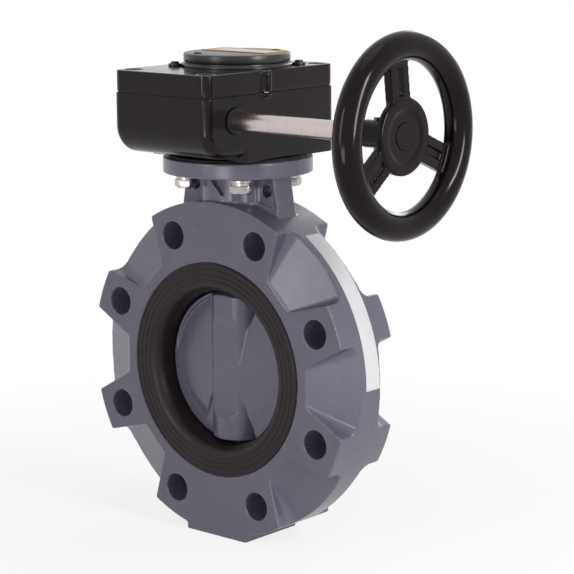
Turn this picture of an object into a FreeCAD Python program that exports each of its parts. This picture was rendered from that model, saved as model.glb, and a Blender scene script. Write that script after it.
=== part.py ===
import FreeCAD, Part
import math
import os
import Sketcher

# Lugged butterfly valve with a worm gear operator and a handwheel, DN100.
# Frame in millimetres: the origin is the bore centre, where the stem axis crosses
# the flow axis. +Z runs up the stem, +X towards the handwheel, -Y towards the front face.
# The valve is drawn closed.

os.makedirs("parts", exist_ok=True)
doc = FreeCAD.newDocument("gear_operated_valve")
V = FreeCAD.Vector

# Driving dimensions: word alias, value in mm (degrees where the note says so), note.
SIZES = [
    ("snug_gap", 0.05, "radial gap of parts that are pressed or glued together"),
    ("running_gap", 0.06, "radial gap of a turning fit"),
    ("seat_gap", 0.06, "radial gap of the disc edge in the seat"),
    ("lug_circle", 190.5, "bolt circle of the eight lugs"),
    ("lug_hole", 9.5, "radius of a lug hole"),
    ("lug_edge", 18.75, "material between the lug circle and the rim"),
    ("body_half", 26.0, "half of the face to face length"),
    ("body_edge", 1.2, "rounding of the outer body edges"),
    ("disc_radius", 52.5, "radius of the ball shaped disc edge"),
    ("liner_wall", 7.1, "room for the seat liner between disc and body"),
    ("recess_width", 13.3, "width of the face recess for the liner flange"),
    ("recess_depth", 4.0, "depth of that recess"),
    ("face_land", 7.5, "flat land between the face recess and the scoops"),
    ("scoop_slope", 0.476, "depth of a scoop for each mm outwards"),
    ("scoop_half", 12.6, "half width of a scoop at its inner end"),
    ("scoop_flare", 0.574, "growth of that half width for each mm outwards"),
    ("scoop_round", 8.0, "floor rounding at the outer end of a scoop"),
    ("foot_half", 27.0, "half width of the foot"),
    ("foot_drop", 1.3, "how far the foot sole lies below the round rim"),
    ("foot_wall", 16.0, "wall between the lower stem bush and the rim"),
    ("neck_rise", 18.5, "height of the neck between rim and flange"),
    ("wing_half", 8.8, "half thickness of the neck wing"),
    ("wing_top", 39.2, "half width of the wing under the flange"),
    ("wing_foot", 45.4, "half width of the wing at the body"),
    ("wing_frame", 2.7, "width of the frame round a wing recess"),
    ("wing_dish", 0.9, "depth of a wing recess"),
    ("wing_hole", 4.0, "radius of the cross holes in the wing"),
    ("wing_hole_x", 32.0, "distance of a cross hole from the stem axis"),
    ("wing_hole_rise", 8.2, "height of the cross holes above the rim"),
    ("neck_radius", 24.5, "radius of the neck round the stem"),
    ("scallop", 12.0, "radius of the spanner room beside the neck"),
    ("stem_bush_wall", 3.0, "wall of the upper stem bush"),
    ("flange_radius", 50.0, "radius of the mounting flange"),
    ("flange_thick", 10.5, "thickness of the mounting flange"),
    ("pad_radius", 8.6, "radius of the bolt pads under the flange"),
    ("pad_drop", 1.4, "height of the bolt pads under the flange"),
    ("bolt_circle", 70.0, "bolt circle of the mounting flange"),
    ("bolt_radius", 4.0, "radius of a mounting bolt"),
    ("bolt_hole_gap", 0.5, "radial gap of a mounting bolt in the flange"),
    ("bolt_grip", 9.0, "length of a mounting bolt in the housing floor"),
    ("hex_radius", 7.5, "corner radius of a mounting bolt head"),
    ("hex_height", 5.3, "height of a mounting bolt head"),
    ("washer_radius", 7.6, "radius of a flat washer"),
    ("washer_thick", 1.6, "thickness of a flat washer"),
    ("lock_radius", 6.4, "radius of a lock washer"),
    ("lock_thick", 2.2, "thickness of a lock washer"),
    ("disc_half", 10.3, "half thickness of the disc at its rim"),
    ("disc_web", 3.0, "half thickness of the disc on the pocket floors"),
    ("disc_rim", 3.0, "width of the raised rim of the disc"),
    ("disc_crown", 15.2, "half thickness of the facets at the stem axis"),
    ("facet_fall", 0.097, "fall of the disc facets for each mm sideways"),
    ("facet_lean", 0.15, "fall of the upper facets for each mm up"),
    ("ridge_rise", 2.6, "height of the facet ridge above the bore centre"),
    ("hub_radius", 18.5, "radius of the disc hub"),
    ("hub_flat", 14.6, "distance of the planed hub flats from the stem axis"),
    ("hub_panel", 16.9, "distance of the upper hub panels from the stem axis"),
    ("hub_end", 24.4, "length of the round hub ends beyond the planed flats"),
    ("hub_slant", 6.9, "height of the slants above and below the hub flats"),
    ("hub_boss", 10.5, "radius of the round boss on the hub flats"),
    ("stem_radius", 9.0, "radius of the upper stem"),
    ("stem_foot", 6.4, "radius of the lower stem journal"),
    ("stem_square", 12.6, "across flats of the two stem squares"),
    ("journal", 12.5, "length of the stem journals inside the disc"),
    ("stem_end_gap", 3.0, "gap under the lower stem end"),
    ("shoulder_rise", 5.8, "height of the stem shoulder above the gasket"),
    ("square_length", 26.0, "length of the top square"),
    ("clip_drop", 5.0, "depth of the clip room in the mounting flange"),
    ("gasket_thick", 1.2, "thickness of the mounting gasket"),
    ("floor_thick", 13.8, "thickness of the gear housing floor"),
    ("worm_rise", 14.4, "height of the worm axis above the floor"),
    ("rim_rise", 15.9, "height of the housing rim above the worm axis"),
    ("side_wall", 5.5, "wall beside the gear space"),
    ("back_wall", 14.9, "wall behind the gear space"),
    ("end_wall", 11.8, "wall at each end of the worm space"),
    ("barrel_wall", 4.7, "wall under the worm space"),
    ("front_wall", 7.1, "wall in front of the worm space"),
    ("belly_round", 18.5, "radius of the lower front of the housing"),
    ("barrel_gap", 1.7, "distance of the barrel end from the gear space"),
    ("housing_step", 0.4, "step of the cover inside the housing outline"),
    ("housing_round", 6.0, "radius of the upright housing corners"),
    ("cover_gasket", 0.6, "thickness of the cover gasket"),
    ("cover_thick", 13.7, "thickness of the cover"),
    ("cover_room", 5.0, "depth of the gear space in the cover"),
    ("module", 2.5, "module of worm and gear"),
    ("teeth", 26, "tooth count of the full gear circle"),
    ("worm_pitch", 15.5, "pitch radius of the worm"),
    ("backlash", 0.4, "play between the teeth along the pitch line"),
    ("gear_clear", 1.5, "gap between the gear tips and the housing"),
    ("worm_clear", 1.7, "gap between the worm thread and the housing"),
    ("worm_half", 21.5, "half length of the worm"),
    ("face_half", 6.0, "half face width of the gear"),
    ("gear_hub", 15.0, "radius of the gear hub"),
    ("bush_wall", 3.0, "wall of the gear bushes"),
    ("hub_bush", 6.6, "length of the upper hub bush"),
    ("hub_seal", 3.5, "thickness of the hub seal"),
    ("stop_x", 24.0, "distance of a stop screw from the stem axis"),
    ("stop_radius", 3.0, "radius of a stop screw"),
    ("stop_angle", 22.0, "degrees between the gear end and the X axis"),
    ("stop_gap", 0.4, "gap between stop screw and gear end"),
    ("shaft_radius", 6.0, "radius of the input shaft"),
    ("shaft_bush", 2.0, "wall of the shaft bushes"),
    ("seal_rim", 0.5, "how much wider the shaft seal is than its bush"),
    ("seal_depth", 3.0, "depth of the shaft seal in the housing"),
    ("seal_thick", 4.4, "thickness of the shaft seal"),
    ("screw_side", 9.6, "distance of the cover screws from the housing side"),
    ("screw_nose", 10.0, "distance of the cover screws from the front"),
    ("screw_end", 8.2, "distance of the cover screws from the back"),
    ("head_room", 5.6, "depth of the cover screw sinks"),
    ("rib_y", 18.3, "distance of the dowel ribs in front of the stem axis"),
    ("rib_radius", 4.1, "radius of the dowel ribs"),
    ("dowel_radius", 2.0, "radius of a dowel"),
    ("base_radius", 37.0, "radius of the indicator base"),
    ("base_lip", 2.8, "width of the step round the neck of the base"),
    ("base_wall", 2.2, "wall of the neck of the base"),
    ("base_thick", 2.0, "thickness of the wide part of the base"),
    ("base_step", 0.5, "height of the neck of the base"),
    ("ear_offset", 4.0, "distance of the ears from the base rim"),
    ("ear_thick", 1.6, "thickness of the ears"),
    ("cap_gap", 0.4, "gap between base and cap"),
    ("cap_overhang", 1.2, "how much wider the cap is than the neck"),
    ("cap_thick", 5.8, "thickness of the indicator cap"),
    ("cap_screw_edge", 7.4, "distance of the cap screws from the cap rim"),
    ("plate_edge", 5.4, "distance of the plate end from the cap rim"),
    ("plate_gap", 4.4, "distance of the plate from the cap screw centre"),
    ("wheel_x", 177.0, "distance of the handwheel plane from the stem axis"),
    ("wheel_ring", 53.9, "radius of the centre line of the wheel rim"),
    ("rim_radius", 8.8, "radius of the rim section"),
    ("wheel_disc", 22.0, "radius of the wheel hub disc"),
    ("wheel_boss", 8.5, "radius of the wheel boss"),
    ("boss_length", 29.0, "length of the wheel boss behind the wheel plane"),
    ("plug_radius", 8.3, "radius of the hub plug"),
    ("spoke_half", 8.6, "half width of a spoke"),
    ("spoke_thick", 5.6, "thickness of a spoke"),
    ("wheel_turn", 7.0, "degrees the first spoke leans from upright"),
    ("label_thick", 0.25, "thickness of the rim label"),
    ("label_half", 6.8, "half width of the rim label"),
    ("label_shift", 1.6, "distance of the label middle behind the body middle"),
]
dim = doc.addObject("Spreadsheet::Sheet", "dim")
for row, (alias, value, note) in enumerate(SIZES, 1):
    dim.set("A%d" % row, note)
    dim.set("B%d" % row, str(value))
    dim.setAlias("B%d" % row, alias)
doc.recompute()


class Size:
    """A length with its value and its expression in the sheet."""

    def __init__(self, text, value):
        self.text = text
        self.value = value

    def join(self, sign, other, value):
        return Size("(%s %s %s)" % (self.text, sign, text_of(other)), value)

    def __add__(self, other):
        return self.join("+", other, self.value + value_of(other))

    def __sub__(self, other):
        return self.join("-", other, self.value - value_of(other))

    def __mul__(self, other):
        return self.join("*", other, self.value * value_of(other))

    def __truediv__(self, other):
        return self.join("/", other, self.value / value_of(other))

    def __rsub__(self, other):
        return Size("(%s - %s)" % (text_of(other), self.text), value_of(other) - self.value)

    def __neg__(self):
        return Size("(0 - %s)" % self.text, -self.value)

    __radd__ = __add__
    __rmul__ = __mul__


def text_of(size):
    return size.text if isinstance(size, Size) else repr(size)


def value_of(size):
    return size.value if isinstance(size, Size) else float(size)


class Sizes:
    """The aliases of the sheet as attributes."""


d = Sizes()
for alias, value, note in SIZES:
    setattr(d, alias, Size("dim." + alias, float(dim.get(alias))))

# Sizes that follow from the driving ones: radii of the body, then the heights up the stem.
d.body_radius = d.lug_circle / 2 + d.lug_edge
d.body_bore = d.disc_radius + d.liner_wall
d.recess_radius = d.body_bore + d.recess_width
d.scoop_inner = d.recess_radius + d.face_land
d.foot_level = d.body_radius + d.foot_drop
d.neck_bore = d.stem_radius + d.stem_bush_wall
d.bush_start = d.body_bore + 2.4
d.stem_step = d.disc_radius - d.journal
d.bush_end = d.body_radius - d.foot_wall
d.stem_low = d.bush_end - d.stem_end_gap
d.hub_flat_top = d.disc_radius - d.hub_end
d.hub_flat_low = d.hub_flat_top + 1.2
d.flange_bottom = d.body_radius + d.neck_rise
d.flange_top = d.flange_bottom + d.flange_thick
d.gasket_top = d.flange_top + d.gasket_thick
d.stem_shoulder = d.gasket_top + d.shoulder_rise
d.stem_top = d.stem_shoulder + d.square_length
d.gear_floor = d.gasket_top + d.floor_thick
d.worm_z = d.gear_floor + d.worm_rise
d.housing_top = d.worm_z + d.rim_rise
d.cover_bottom = d.housing_top + d.cover_gasket
d.cover_top = d.cover_bottom + d.cover_thick
d.base_top = d.cover_top + d.base_thick
d.neck_top = d.base_top + d.base_step
d.cap_bottom = d.neck_top + d.cap_gap
d.cap_top = d.cap_bottom + d.cap_thick

# Outline of the gear housing round the gear and the worm.
d.gear_pitch = d.module * d.teeth / 2
d.addendum = d.module * 0.92
d.gear_space = d.gear_pitch + d.addendum + d.gear_clear
d.worm_space = d.worm_pitch + d.addendum + d.worm_clear
d.worm_centre = d.gear_pitch + d.worm_pitch
d.barrel_radius = d.worm_space + d.barrel_wall
d.barrel_back = d.gear_space + d.barrel_gap
d.housing_half = d.gear_space + d.side_wall
d.housing_front = d.worm_centre + d.worm_space + d.front_wall
d.housing_back = d.gear_space + d.back_wall
d.worm_space_half = d.housing_half - d.end_wall
d.screw_x = d.housing_half - d.screw_side
d.screw_front = d.housing_front - d.screw_nose
d.screw_back = d.housing_back - d.screw_end
d.rib_x = d.housing_half - d.housing_step
d.base_neck = d.base_radius - d.base_lip
d.base_hole = d.base_neck - d.base_wall
d.ear_radius = d.base_radius + d.ear_offset
d.cap_radius = d.base_neck + d.cap_overhang
d.cap_screw_circle = d.cap_radius - d.cap_screw_edge
d.wheel_boss_start = d.wheel_x - d.boss_length


def polar(radius, degrees):
    """Point on a circle round the stem axis, as two sizes."""
    radius = radius if isinstance(radius, Size) else Size(repr(radius), radius)
    angle = math.radians(degrees)
    across = Size("(%s * cos(%g))" % (radius.text, degrees), radius.value * math.cos(angle))
    along = Size("(%s * sin(%g))" % (radius.text, degrees), radius.value * math.sin(angle))
    return across, along


TURNS = {
    "z": FreeCAD.Rotation(),
    "x": FreeCAD.Rotation(V(0, 1, 0), 90),
    "y": FreeCAD.Rotation(V(1, 0, 0), -90),
}


def primitive(kind, name, at, axis="z", **sizes):
    """Part primitive whose sizes and place are bound to the sheet."""
    obj = doc.addObject("Part::" + kind, name)
    obj.Placement = FreeCAD.Placement(V(*[value_of(c) for c in at]), TURNS[axis])
    for key, size in sizes.items():
        obj.setExpression(key, text_of(size))
    for key, size in zip("xyz", at):
        obj.setExpression("Placement.Base." + key, text_of(size))
    return obj


def cylinder(name, radius, length, at, axis="z"):
    return primitive("Cylinder", name, at, axis, Radius=radius, Height=length)


def cone(name, radius, end_radius, length, at, axis="z"):
    return primitive("Cone", name, at, axis, Radius1=radius, Radius2=end_radius, Height=length)


def block(name, x, y, z):
    """Box between two bounds in each direction."""
    return primitive("Box", name, (x[0], y[0], z[0]), Length=x[1] - x[0],
                     Width=y[1] - y[0], Height=z[1] - z[0])


def fuse(name, *parts):
    obj = doc.addObject("Part::MultiFuse", name)
    obj.Shapes = list(parts)
    obj.Refine = True
    return obj


def common(name, *parts):
    obj = doc.addObject("Part::MultiCommon", name)
    obj.Shapes = list(parts)
    return obj


def cut(name, base, *tools):
    obj = doc.addObject("Part::Cut", name)
    obj.Base = base
    obj.Tool = tools[0] if len(tools) == 1 else fuse(name + "_tools", *tools)
    obj.Refine = True
    return obj


def ring(name, radius, hole, length, at, axis="z"):
    """Tube with its bore right through."""
    return cut(name, cylinder(name + "_outside", radius, length, at, axis),
               cylinder(name + "_hole", hole, length, at, axis))


def group(name, *parts):
    """Separate solids that share one node."""
    obj = doc.addObject("Part::Compound", name)
    obj.Links = list(parts)
    return obj


def prism(name, sides, radius, length, at, axis="z"):
    obj = primitive("Prism", name, at, axis, Circumradius=radius, Height=length)
    obj.Polygon = sides
    return obj


def outline(name, points, axis):
    """Closed sketch of straight lines; each corner is held by two sheet dimensions."""
    sketch = doc.addObject("Sketcher::SketchObject", name)
    turn = {"z": FreeCAD.Rotation(), "y": FreeCAD.Rotation(V(1, 0, 0), 90),
            "x": FreeCAD.Rotation(V(1, 1, 1), 120)}
    sketch.Placement = FreeCAD.Placement(V(), turn[axis])
    flat = [V(value_of(a), value_of(b), 0) for a, b in points]
    count = len(flat)
    for number in range(count):
        sketch.addGeometry(Part.LineSegment(flat[number], flat[(number + 1) % count]), False)
    for number in range(count):
        sketch.addConstraint(
            Sketcher.Constraint("Coincident", number, 2, (number + 1) % count, 1))
    for number, pair in enumerate(points):
        for kind, size in zip(("DistanceX", "DistanceY"), pair):
            index = sketch.addConstraint(
                Sketcher.Constraint(kind, -1, 1, number, 1, value_of(size)))
            if isinstance(size, Size):
                sketch.setExpression("Constraints[%d]" % index, size.text)
    return sketch


def extrude(name, points, axis, start, length):
    """Straight sided solid: an outline drawn across the axis and pushed along it."""
    obj = doc.addObject("Part::Extrusion", name)
    obj.Base = outline(name + "_outline", points, axis)
    obj.DirMode = "Custom"
    obj.Dir = {"x": V(1, 0, 0), "y": V(0, 1, 0), "z": V(0, 0, 1)}[axis]
    obj.Solid = True
    obj.setExpression("LengthFwd", text_of(length))
    obj.setExpression("Placement.Base." + axis, text_of(start))
    return obj


def revolve(name, points, plane, axis, at=(0, 0, 0), angle=360):
    """Turned solid: an outline turned round a line through the sketch origin."""
    obj = doc.addObject("Part::Revolution", name)
    obj.Source = outline(name + "_outline", points, plane)
    obj.Axis = axis
    obj.Base = V(0, 0, 0)
    obj.Angle = angle
    obj.Solid = True
    for key, size in zip("xyz", at):
        obj.setExpression("Placement.Base." + key, text_of(size))
    return obj


def rounded(name, base, radius, wanted):
    """Fillet on every edge whose middle point passes the test."""
    doc.recompute()
    obj = doc.addObject("Part::Fillet", name)
    obj.Base = base
    chosen = []
    for number, edge in enumerate(base.Shape.Edges, 1):
        middle = edge.valueAt((edge.FirstParameter + edge.LastParameter) / 2)
        if wanted(edge, middle):
            chosen.append((number, value_of(radius), value_of(radius)))
    obj.Edges = chosen
    return obj


def upright(edge, middle):
    ends = edge.Vertexes
    return (len(ends) == 2 and edge.Curve.TypeId == "Part::GeomLine"
            and abs(ends[0].X - ends[1].X) < 1e-6 and abs(ends[0].Y - ends[1].Y) < 1e-6)


def shape_node(name, shape, at=(0, 0, 0)):
    """Computed shape, moved to a place that is bound to the sheet."""
    obj = doc.addObject("Part::Feature", name)
    obj.Shape = shape
    for key, size, start in zip("xyz", at, shape.Placement.Base):
        obj.setExpression("Placement.Base." + key, "%s + %r" % (text_of(size), start))
    return obj


nodes = {}


def node(name, obj):
    """Give the finished object its node name."""
    obj.Label = name
    nodes[name] = obj
    return obj


LUG_ANGLES = [22.5 + 45 * k for k in range(8)]
BOLT_ANGLES = [45, 135, 225, 315]
SCOOP_ANGLES = [-45, 0, 45, 135, 180, 225]


# Valve body. Each scoop between two lugs is a loft: narrow and shallow where it leaves the
# face, wide and deep with rounded floor corners where it leaves the rim.
def scoop_section(distance, corner):
    reach = distance - d.scoop_inner.value
    half = d.scoop_half.value + d.scoop_flare.value * reach
    depth = 0.5 + d.scoop_slope.value * reach
    face = -d.body_half.value
    bottom = face + depth
    turn = corner * math.sqrt(0.5)
    points = [
        V(distance, face - 2, -half),
        V(distance, bottom - corner, -half),
        V(distance, bottom - corner + turn, -half + corner - turn),
        V(distance, bottom, -half + corner),
        V(distance, bottom, half - corner),
        V(distance, bottom - corner + turn, half - corner + turn),
        V(distance, bottom - corner, half),
        V(distance, face - 2, half),
    ]
    edges = [
        Part.LineSegment(points[0], points[1]),
        Part.Arc(points[1], points[2], points[3]),
        Part.LineSegment(points[3], points[4]),
        Part.Arc(points[4], points[5], points[6]),
        Part.LineSegment(points[6], points[7]),
        Part.LineSegment(points[7], points[0]),
    ]
    return Part.Wire([edge.toShape() for edge in edges])


inner_section = scoop_section(d.scoop_inner.value, 0.4)
outer_section = scoop_section(d.body_radius.value + 8, d.scoop_round.value)
scoop = Part.makeLoft([inner_section, outer_section], True, True)
scoops = []
for number, angle in enumerate(SCOOP_ANGLES):
    for side, flip in (("front", 0), ("rear", 180)):
        shape = scoop.copy()
        shape.rotate(V(), V(1, 0, 0), flip)
        shape.rotate(V(), V(0, 1, 0), angle)
        scoops.append(shape_node("scoop_%s_%d" % (side, number), shape))

body_round = rounded(
    "body_round",
    cylinder("body_blank", d.body_radius, d.body_half * 2, (0, -d.body_half, 0), "y"),
    d.body_edge, lambda edge, middle: edge.Curve.TypeId == "Part::GeomCircle")
foot = block("foot", (-d.foot_half, d.foot_half), (-d.body_half, d.body_half),
             (-d.foot_level, -d.foot_level + d.foot_wall))
wing_low = d.body_radius - d.lug_edge
wing = rounded(
    "wing",
    extrude("wing_slab", [(-d.wing_foot, wing_low), (d.wing_foot, wing_low),
                          (d.wing_top, d.flange_bottom + 1), (-d.wing_top, d.flange_bottom + 1)],
            "y", -d.wing_half, d.wing_half * 2),
    1.2, lambda edge, middle: abs(middle.x) > 1 and abs(middle.y) > 1)
neck_low = d.body_radius - d.lug_edge
neck = cylinder("neck", d.neck_radius, d.flange_bottom + 1 - neck_low, (0, 0, neck_low))
flange = rounded(
    "flange",
    cylinder("flange_blank", d.flange_radius, d.flange_top - d.flange_bottom,
             (0, 0, d.flange_bottom)),
    1.0, lambda edge, middle: edge.Curve.TypeId == "Part::GeomCircle")
pads = []
bolt_spots = [polar(d.bolt_circle / 2, angle) for angle in BOLT_ANGLES]
for number, (x, y) in enumerate(bolt_spots):
    pads.append(cylinder("pad_%d" % number, d.pad_radius, d.pad_drop + 1,
                         (x, y, d.flange_bottom - d.pad_drop)))
scallop_low = d.body_radius - 4
scallops = [cylinder("scallop_%d" % number, d.scallop, d.flange_bottom - d.pad_drop - scallop_low,
                     (x, y, scallop_low)) for number, (x, y) in enumerate(bolt_spots)]
web_cuts = []
for side, sign in (("right", 1), ("left", -1)):
    web_inside = d.neck_radius + 0.7
    web_top = d.flange_bottom - 1
    corners = [(sign * web_inside, d.body_radius),
               (sign * (d.wing_foot - d.wing_frame - 0.7), d.body_radius - 3.8),
               (sign * (d.wing_top - d.wing_frame), web_top), (sign * web_inside, web_top)]
    for face, start in (("front", -d.wing_half - 1), ("rear", d.wing_half - d.wing_dish)):
        web_cuts.append(extrude("web_%s_%s" % (side, face), corners, "y", start,
                                d.wing_dish + 1))
core_top = d.flange_bottom - 1.5
core_out = extrude("core_out", [(-4.7, core_top), (7.3, d.body_radius + 3), (7.3, core_top)],
                   "y", -d.neck_radius - 1.5, 7.5)
neck_block = cut("neck_block", fuse("neck_raw", wing, neck), core_out, *(scallops + web_cuts))
lug_holes = []
for number, angle in enumerate(LUG_ANGLES):
    x, z = polar(d.lug_circle / 2, angle)
    lug_holes.append(cylinder("lug_hole_%d" % number, d.lug_hole, d.body_half * 2 + 2,
                              (x, -d.body_half - 1, z), "y"))
bolt_holes = [cylinder("bolt_hole_%d" % number, d.bolt_radius + d.bolt_hole_gap,
                       d.flange_thick + 10, (x, y, d.flange_bottom - 5))
              for number, (x, y) in enumerate(bolt_spots)]
wing_holes = [cylinder("wing_hole_%d" % number, d.wing_hole, d.wing_half * 4,
                       (sign * d.wing_hole_x, -d.wing_half * 2,
                        d.body_radius + d.wing_hole_rise), "y")
              for number, sign in enumerate((-1, 1))]
bore = cylinder("body_bore_cut", d.body_bore, d.body_half * 2 + 2, (0, -d.body_half - 1, 0), "y")
recesses = [cylinder("recess_front", d.recess_radius, d.recess_depth + 1,
                     (0, -d.body_half - 1, 0), "y"),
            cylinder("recess_rear", d.recess_radius, d.recess_depth + 1,
                     (0, d.body_half - d.recess_depth, 0), "y")]
inside = d.disc_radius - 2.5
stem_hole = cylinder("stem_hole", d.neck_bore, d.flange_top + 1 - inside, (0, 0, inside))
foot_hole = cylinder("foot_hole", d.stem_radius, d.bush_end - inside, (0, 0, -d.bush_end))
clip_room = cylinder("clip_room", d.neck_bore + 2.5, d.clip_drop + 1,
                     (0, 0, d.flange_top - d.clip_drop))
lug_ring = cut("lug_ring", fuse("ring_and_foot", body_round, foot), *scoops)
node("valve_body", cut("valve_body", fuse("body_raw", lug_ring, neck_block, flange, *pads),
                       bore, stem_hole, foot_hole, clip_room,
                       *(recesses + lug_holes + bolt_holes + wing_holes)))

# Seat liner: rubber sleeve with a face flange and fine sealing ribs on both sides.
seat = d.disc_radius + d.seat_gap
sleeve = d.body_bore - d.snug_gap
lip = d.recess_radius - 0.1
recess_floor = d.body_half - d.recess_depth
face = d.body_half + 0.5
rib = face + 0.5
half_profile = [(seat, d.body_half - 10), (seat + 1.6, d.body_half - 5), (seat + 5.0, face)]
for number in range(4):
    rib_at = d.body_bore + 0.4 + 3.6 * number
    half_profile += [(rib_at, face), (rib_at + 0.4, rib), (rib_at + 1.0, rib),
                     (rib_at + 1.4, face)]
half_profile += [(lip, face), (lip, recess_floor), (sleeve, recess_floor)]
profile = half_profile + [(radius, -y) for radius, y in reversed(half_profile)]
liner_blank = revolve("liner_blank", profile, "z", V(0, 1, 0))
node("seat_liner", cut(
    "seat_liner", liner_blank,
    cylinder("liner_top_hole", d.stem_radius + d.running_gap, d.body_bore, (0, 0, d.stem_step)),
    cylinder("liner_foot_hole", d.stem_foot + d.running_gap, d.body_bore,
             (0, 0, -d.stem_step - d.body_bore))))

# Disc with a ball shaped edge. Beside the hub each face has four facets that meet in a level
# ridge: the lower two stand upright, the upper two lean back inside the raised rim. Four
# pockets on each face lie between the facets and the hub.
ball = primitive("Sphere", "disc_ball", (0, 0, 0), Radius=d.disc_radius)
rim_in = d.disc_radius - d.disc_rim
rim_out = d.disc_radius + 2
facet_end = d.disc_radius - 15.5
facet_end_half = d.disc_crown - 2.5
band_start = d.disc_radius - 9.5
band_half = d.disc_half + 0.7
slab = revolve("disc_slab", [(0, -d.disc_crown), (facet_end, -facet_end_half),
                             (band_start, -band_half), (rim_out, -d.disc_half),
                             (rim_out, d.disc_half), (band_start, band_half),
                             (facet_end, facet_end_half), (0, d.disc_crown)],
               "z", V(0, 1, 0))
facet_cuts = []
facet_side = d.disc_radius + 3
far_front = d.disc_crown * 2
for face_name, face_sign in (("front", -1), ("rear", 1)):
    fallen = face_sign * (d.disc_crown - d.facet_fall * facet_side)
    corners = [(0, face_sign * d.disc_crown), (facet_side, fallen),
               (facet_side, face_sign * far_front), (-facet_side, face_sign * far_front),
               (-facet_side, fallen)]
    facet_cuts.append(extrude("facets_low_" + face_name, corners, "z", -facet_side,
                              facet_side + d.ridge_rise))
    leaning = extrude("facets_high_" + face_name, corners, "z", d.ridge_rise, facet_side)
    leaning.Dir = V(0, -face_sign * d.facet_lean.value, 1)
    facet_cuts.append(leaning)
raised_rim = revolve("disc_rim_ring", [(rim_in, -d.disc_half), (rim_out, -d.disc_half),
                                       (rim_out, d.disc_half), (rim_in, d.disc_half)],
                     "z", V(0, 1, 0))
pockets = []
pocket_inside = d.hub_radius - 10.5
for number, (side, level) in enumerate(((1, 1), (1, -1), (-1, 1), (-1, -1))):
    corners = [(side * pocket_inside, level * 8.0),
               (side * (d.hub_radius - 3.3), level * 23.0),
               (side * (d.hub_radius + 2.9), level * (d.disc_radius - 11.0)),
               (side * (d.hub_radius + 8.5), level * rim_out),
               (side * pocket_inside, level * rim_out)]
    for face_name, begin in (("front", -d.disc_crown - 1), ("rear", d.disc_web)):
        pockets.append(extrude("pocket_%s_%d" % (face_name, number), corners, "y", begin,
                               d.disc_crown + 1 - d.disc_web))
hub = cylinder("disc_hub", d.hub_radius, 2 * d.disc_radius, (0, 0, -d.disc_radius))
hub_out = d.hub_radius + 1
flats = []
for face_name, face_sign in (("front", -1), ("rear", 1)):
    corners = [(face_sign * hub_out, -d.hub_flat_low - d.hub_slant),
               (face_sign * d.hub_flat, -d.hub_flat_low),
               (face_sign * d.hub_flat, d.hub_flat_top),
               (face_sign * d.hub_panel, d.hub_flat_top + d.hub_slant),
               (face_sign * d.hub_panel, d.disc_radius + 1),
               (face_sign * hub_out, d.disc_radius + 1)]
    flats.append(extrude("flat_" + face_name, corners, "x", -hub_out, hub_out * 2))
boss_half = d.hub_flat + 0.25
boss = cylinder("disc_boss", d.hub_boss, boss_half * 2, (0, -boss_half, 0), "y")
square = d.stem_square / 2 + d.snug_gap
square_hole = block("disc_square_hole", (-square, square), (-square, square),
                    (-d.stem_step - 1, d.stem_step + 1))
disc_plate = cut("disc_plate", fuse("disc_rimmed", cut("disc_faceted", slab, *facet_cuts),
                                    raised_rim), *pockets)
disc_raw = fuse("disc_raw", disc_plate, cut("hub_flatted", hub, *flats), boss)
node("disc", cut(
    "disc", common("disc_outside", ball, disc_raw), square_hole,
    cylinder("disc_top_hole", d.stem_radius + d.snug_gap, d.journal * 2, (0, 0, d.stem_step)),
    cylinder("disc_foot_hole", d.stem_foot + d.snug_gap, d.journal * 2,
             (0, 0, -d.stem_step - d.journal * 2))))

# Stem: two journals, a square in the disc and a square in the gear.
half_square = d.stem_square / 2
clip_z = d.flange_top - d.clip_drop + 1
ring_spots = [d.flange_bottom - 44, d.flange_bottom - 36]
grooves = [ring("stem_groove_%d" % number, d.stem_radius + 1, d.stem_radius - 1.6, 2.4,
                (0, 0, z - 1.2)) for number, z in enumerate(ring_spots)]
grooves.append(ring("clip_groove", d.stem_radius + 1, d.stem_radius - 1.0, 1.5, (0, 0, clip_z)))
chamfer = cylinder("square_turning", d.stem_radius - 0.4, d.stem_top + d.stem_step + 1,
                   (0, 0, -d.stem_step - 1))
squares = fuse(
    "stem_squares",
    block("stem_low_square", (-half_square, half_square), (-half_square, half_square),
          (-d.stem_step, d.stem_step + 1)),
    block("stem_top_square", (-half_square, half_square), (-half_square, half_square),
          (d.stem_shoulder - 1, d.stem_top)))
node("stem", cut("stem", fuse(
    "stem_raw", common("stem_turned_squares", squares, chamfer),
    cylinder("stem_foot_journal", d.stem_foot, d.stem_low - d.stem_step,
             (0, 0, -d.stem_low)),
    cylinder("stem_top_journal", d.stem_radius, d.stem_shoulder - d.stem_step - 1,
             (0, 0, d.stem_step + 1))), *grooves))
node("stem_o_rings", group("stem_o_rings", *[
    ring("stem_ring_%d" % number, d.stem_radius + 0.02, d.stem_radius - 1.58, 2.1,
         (0, 0, z - 1.05)) for number, z in enumerate(ring_spots)]))
node("stem_clip", cut(
    "stem_clip", ring("clip_ring", d.stem_radius + 3.6, d.stem_radius - 0.95, 1.3,
                      (0, 0, clip_z + 0.1)),
    block("clip_gap", (-2.5, 2.5), (d.stem_radius - 4, d.stem_radius + 6),
          (clip_z - 1, clip_z + 3))))
node("upper_stem_bush", ring("upper_stem_bush", d.neck_bore - d.snug_gap,
                             d.stem_radius + d.running_gap,
                             d.flange_top - d.clip_drop - d.bush_start, (0, 0, d.bush_start)))
node("lower_stem_bush", ring("lower_stem_bush", d.stem_radius - d.snug_gap,
                             d.stem_foot + d.running_gap, d.bush_end - d.bush_start,
                             (0, 0, -d.bush_end)))

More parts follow.
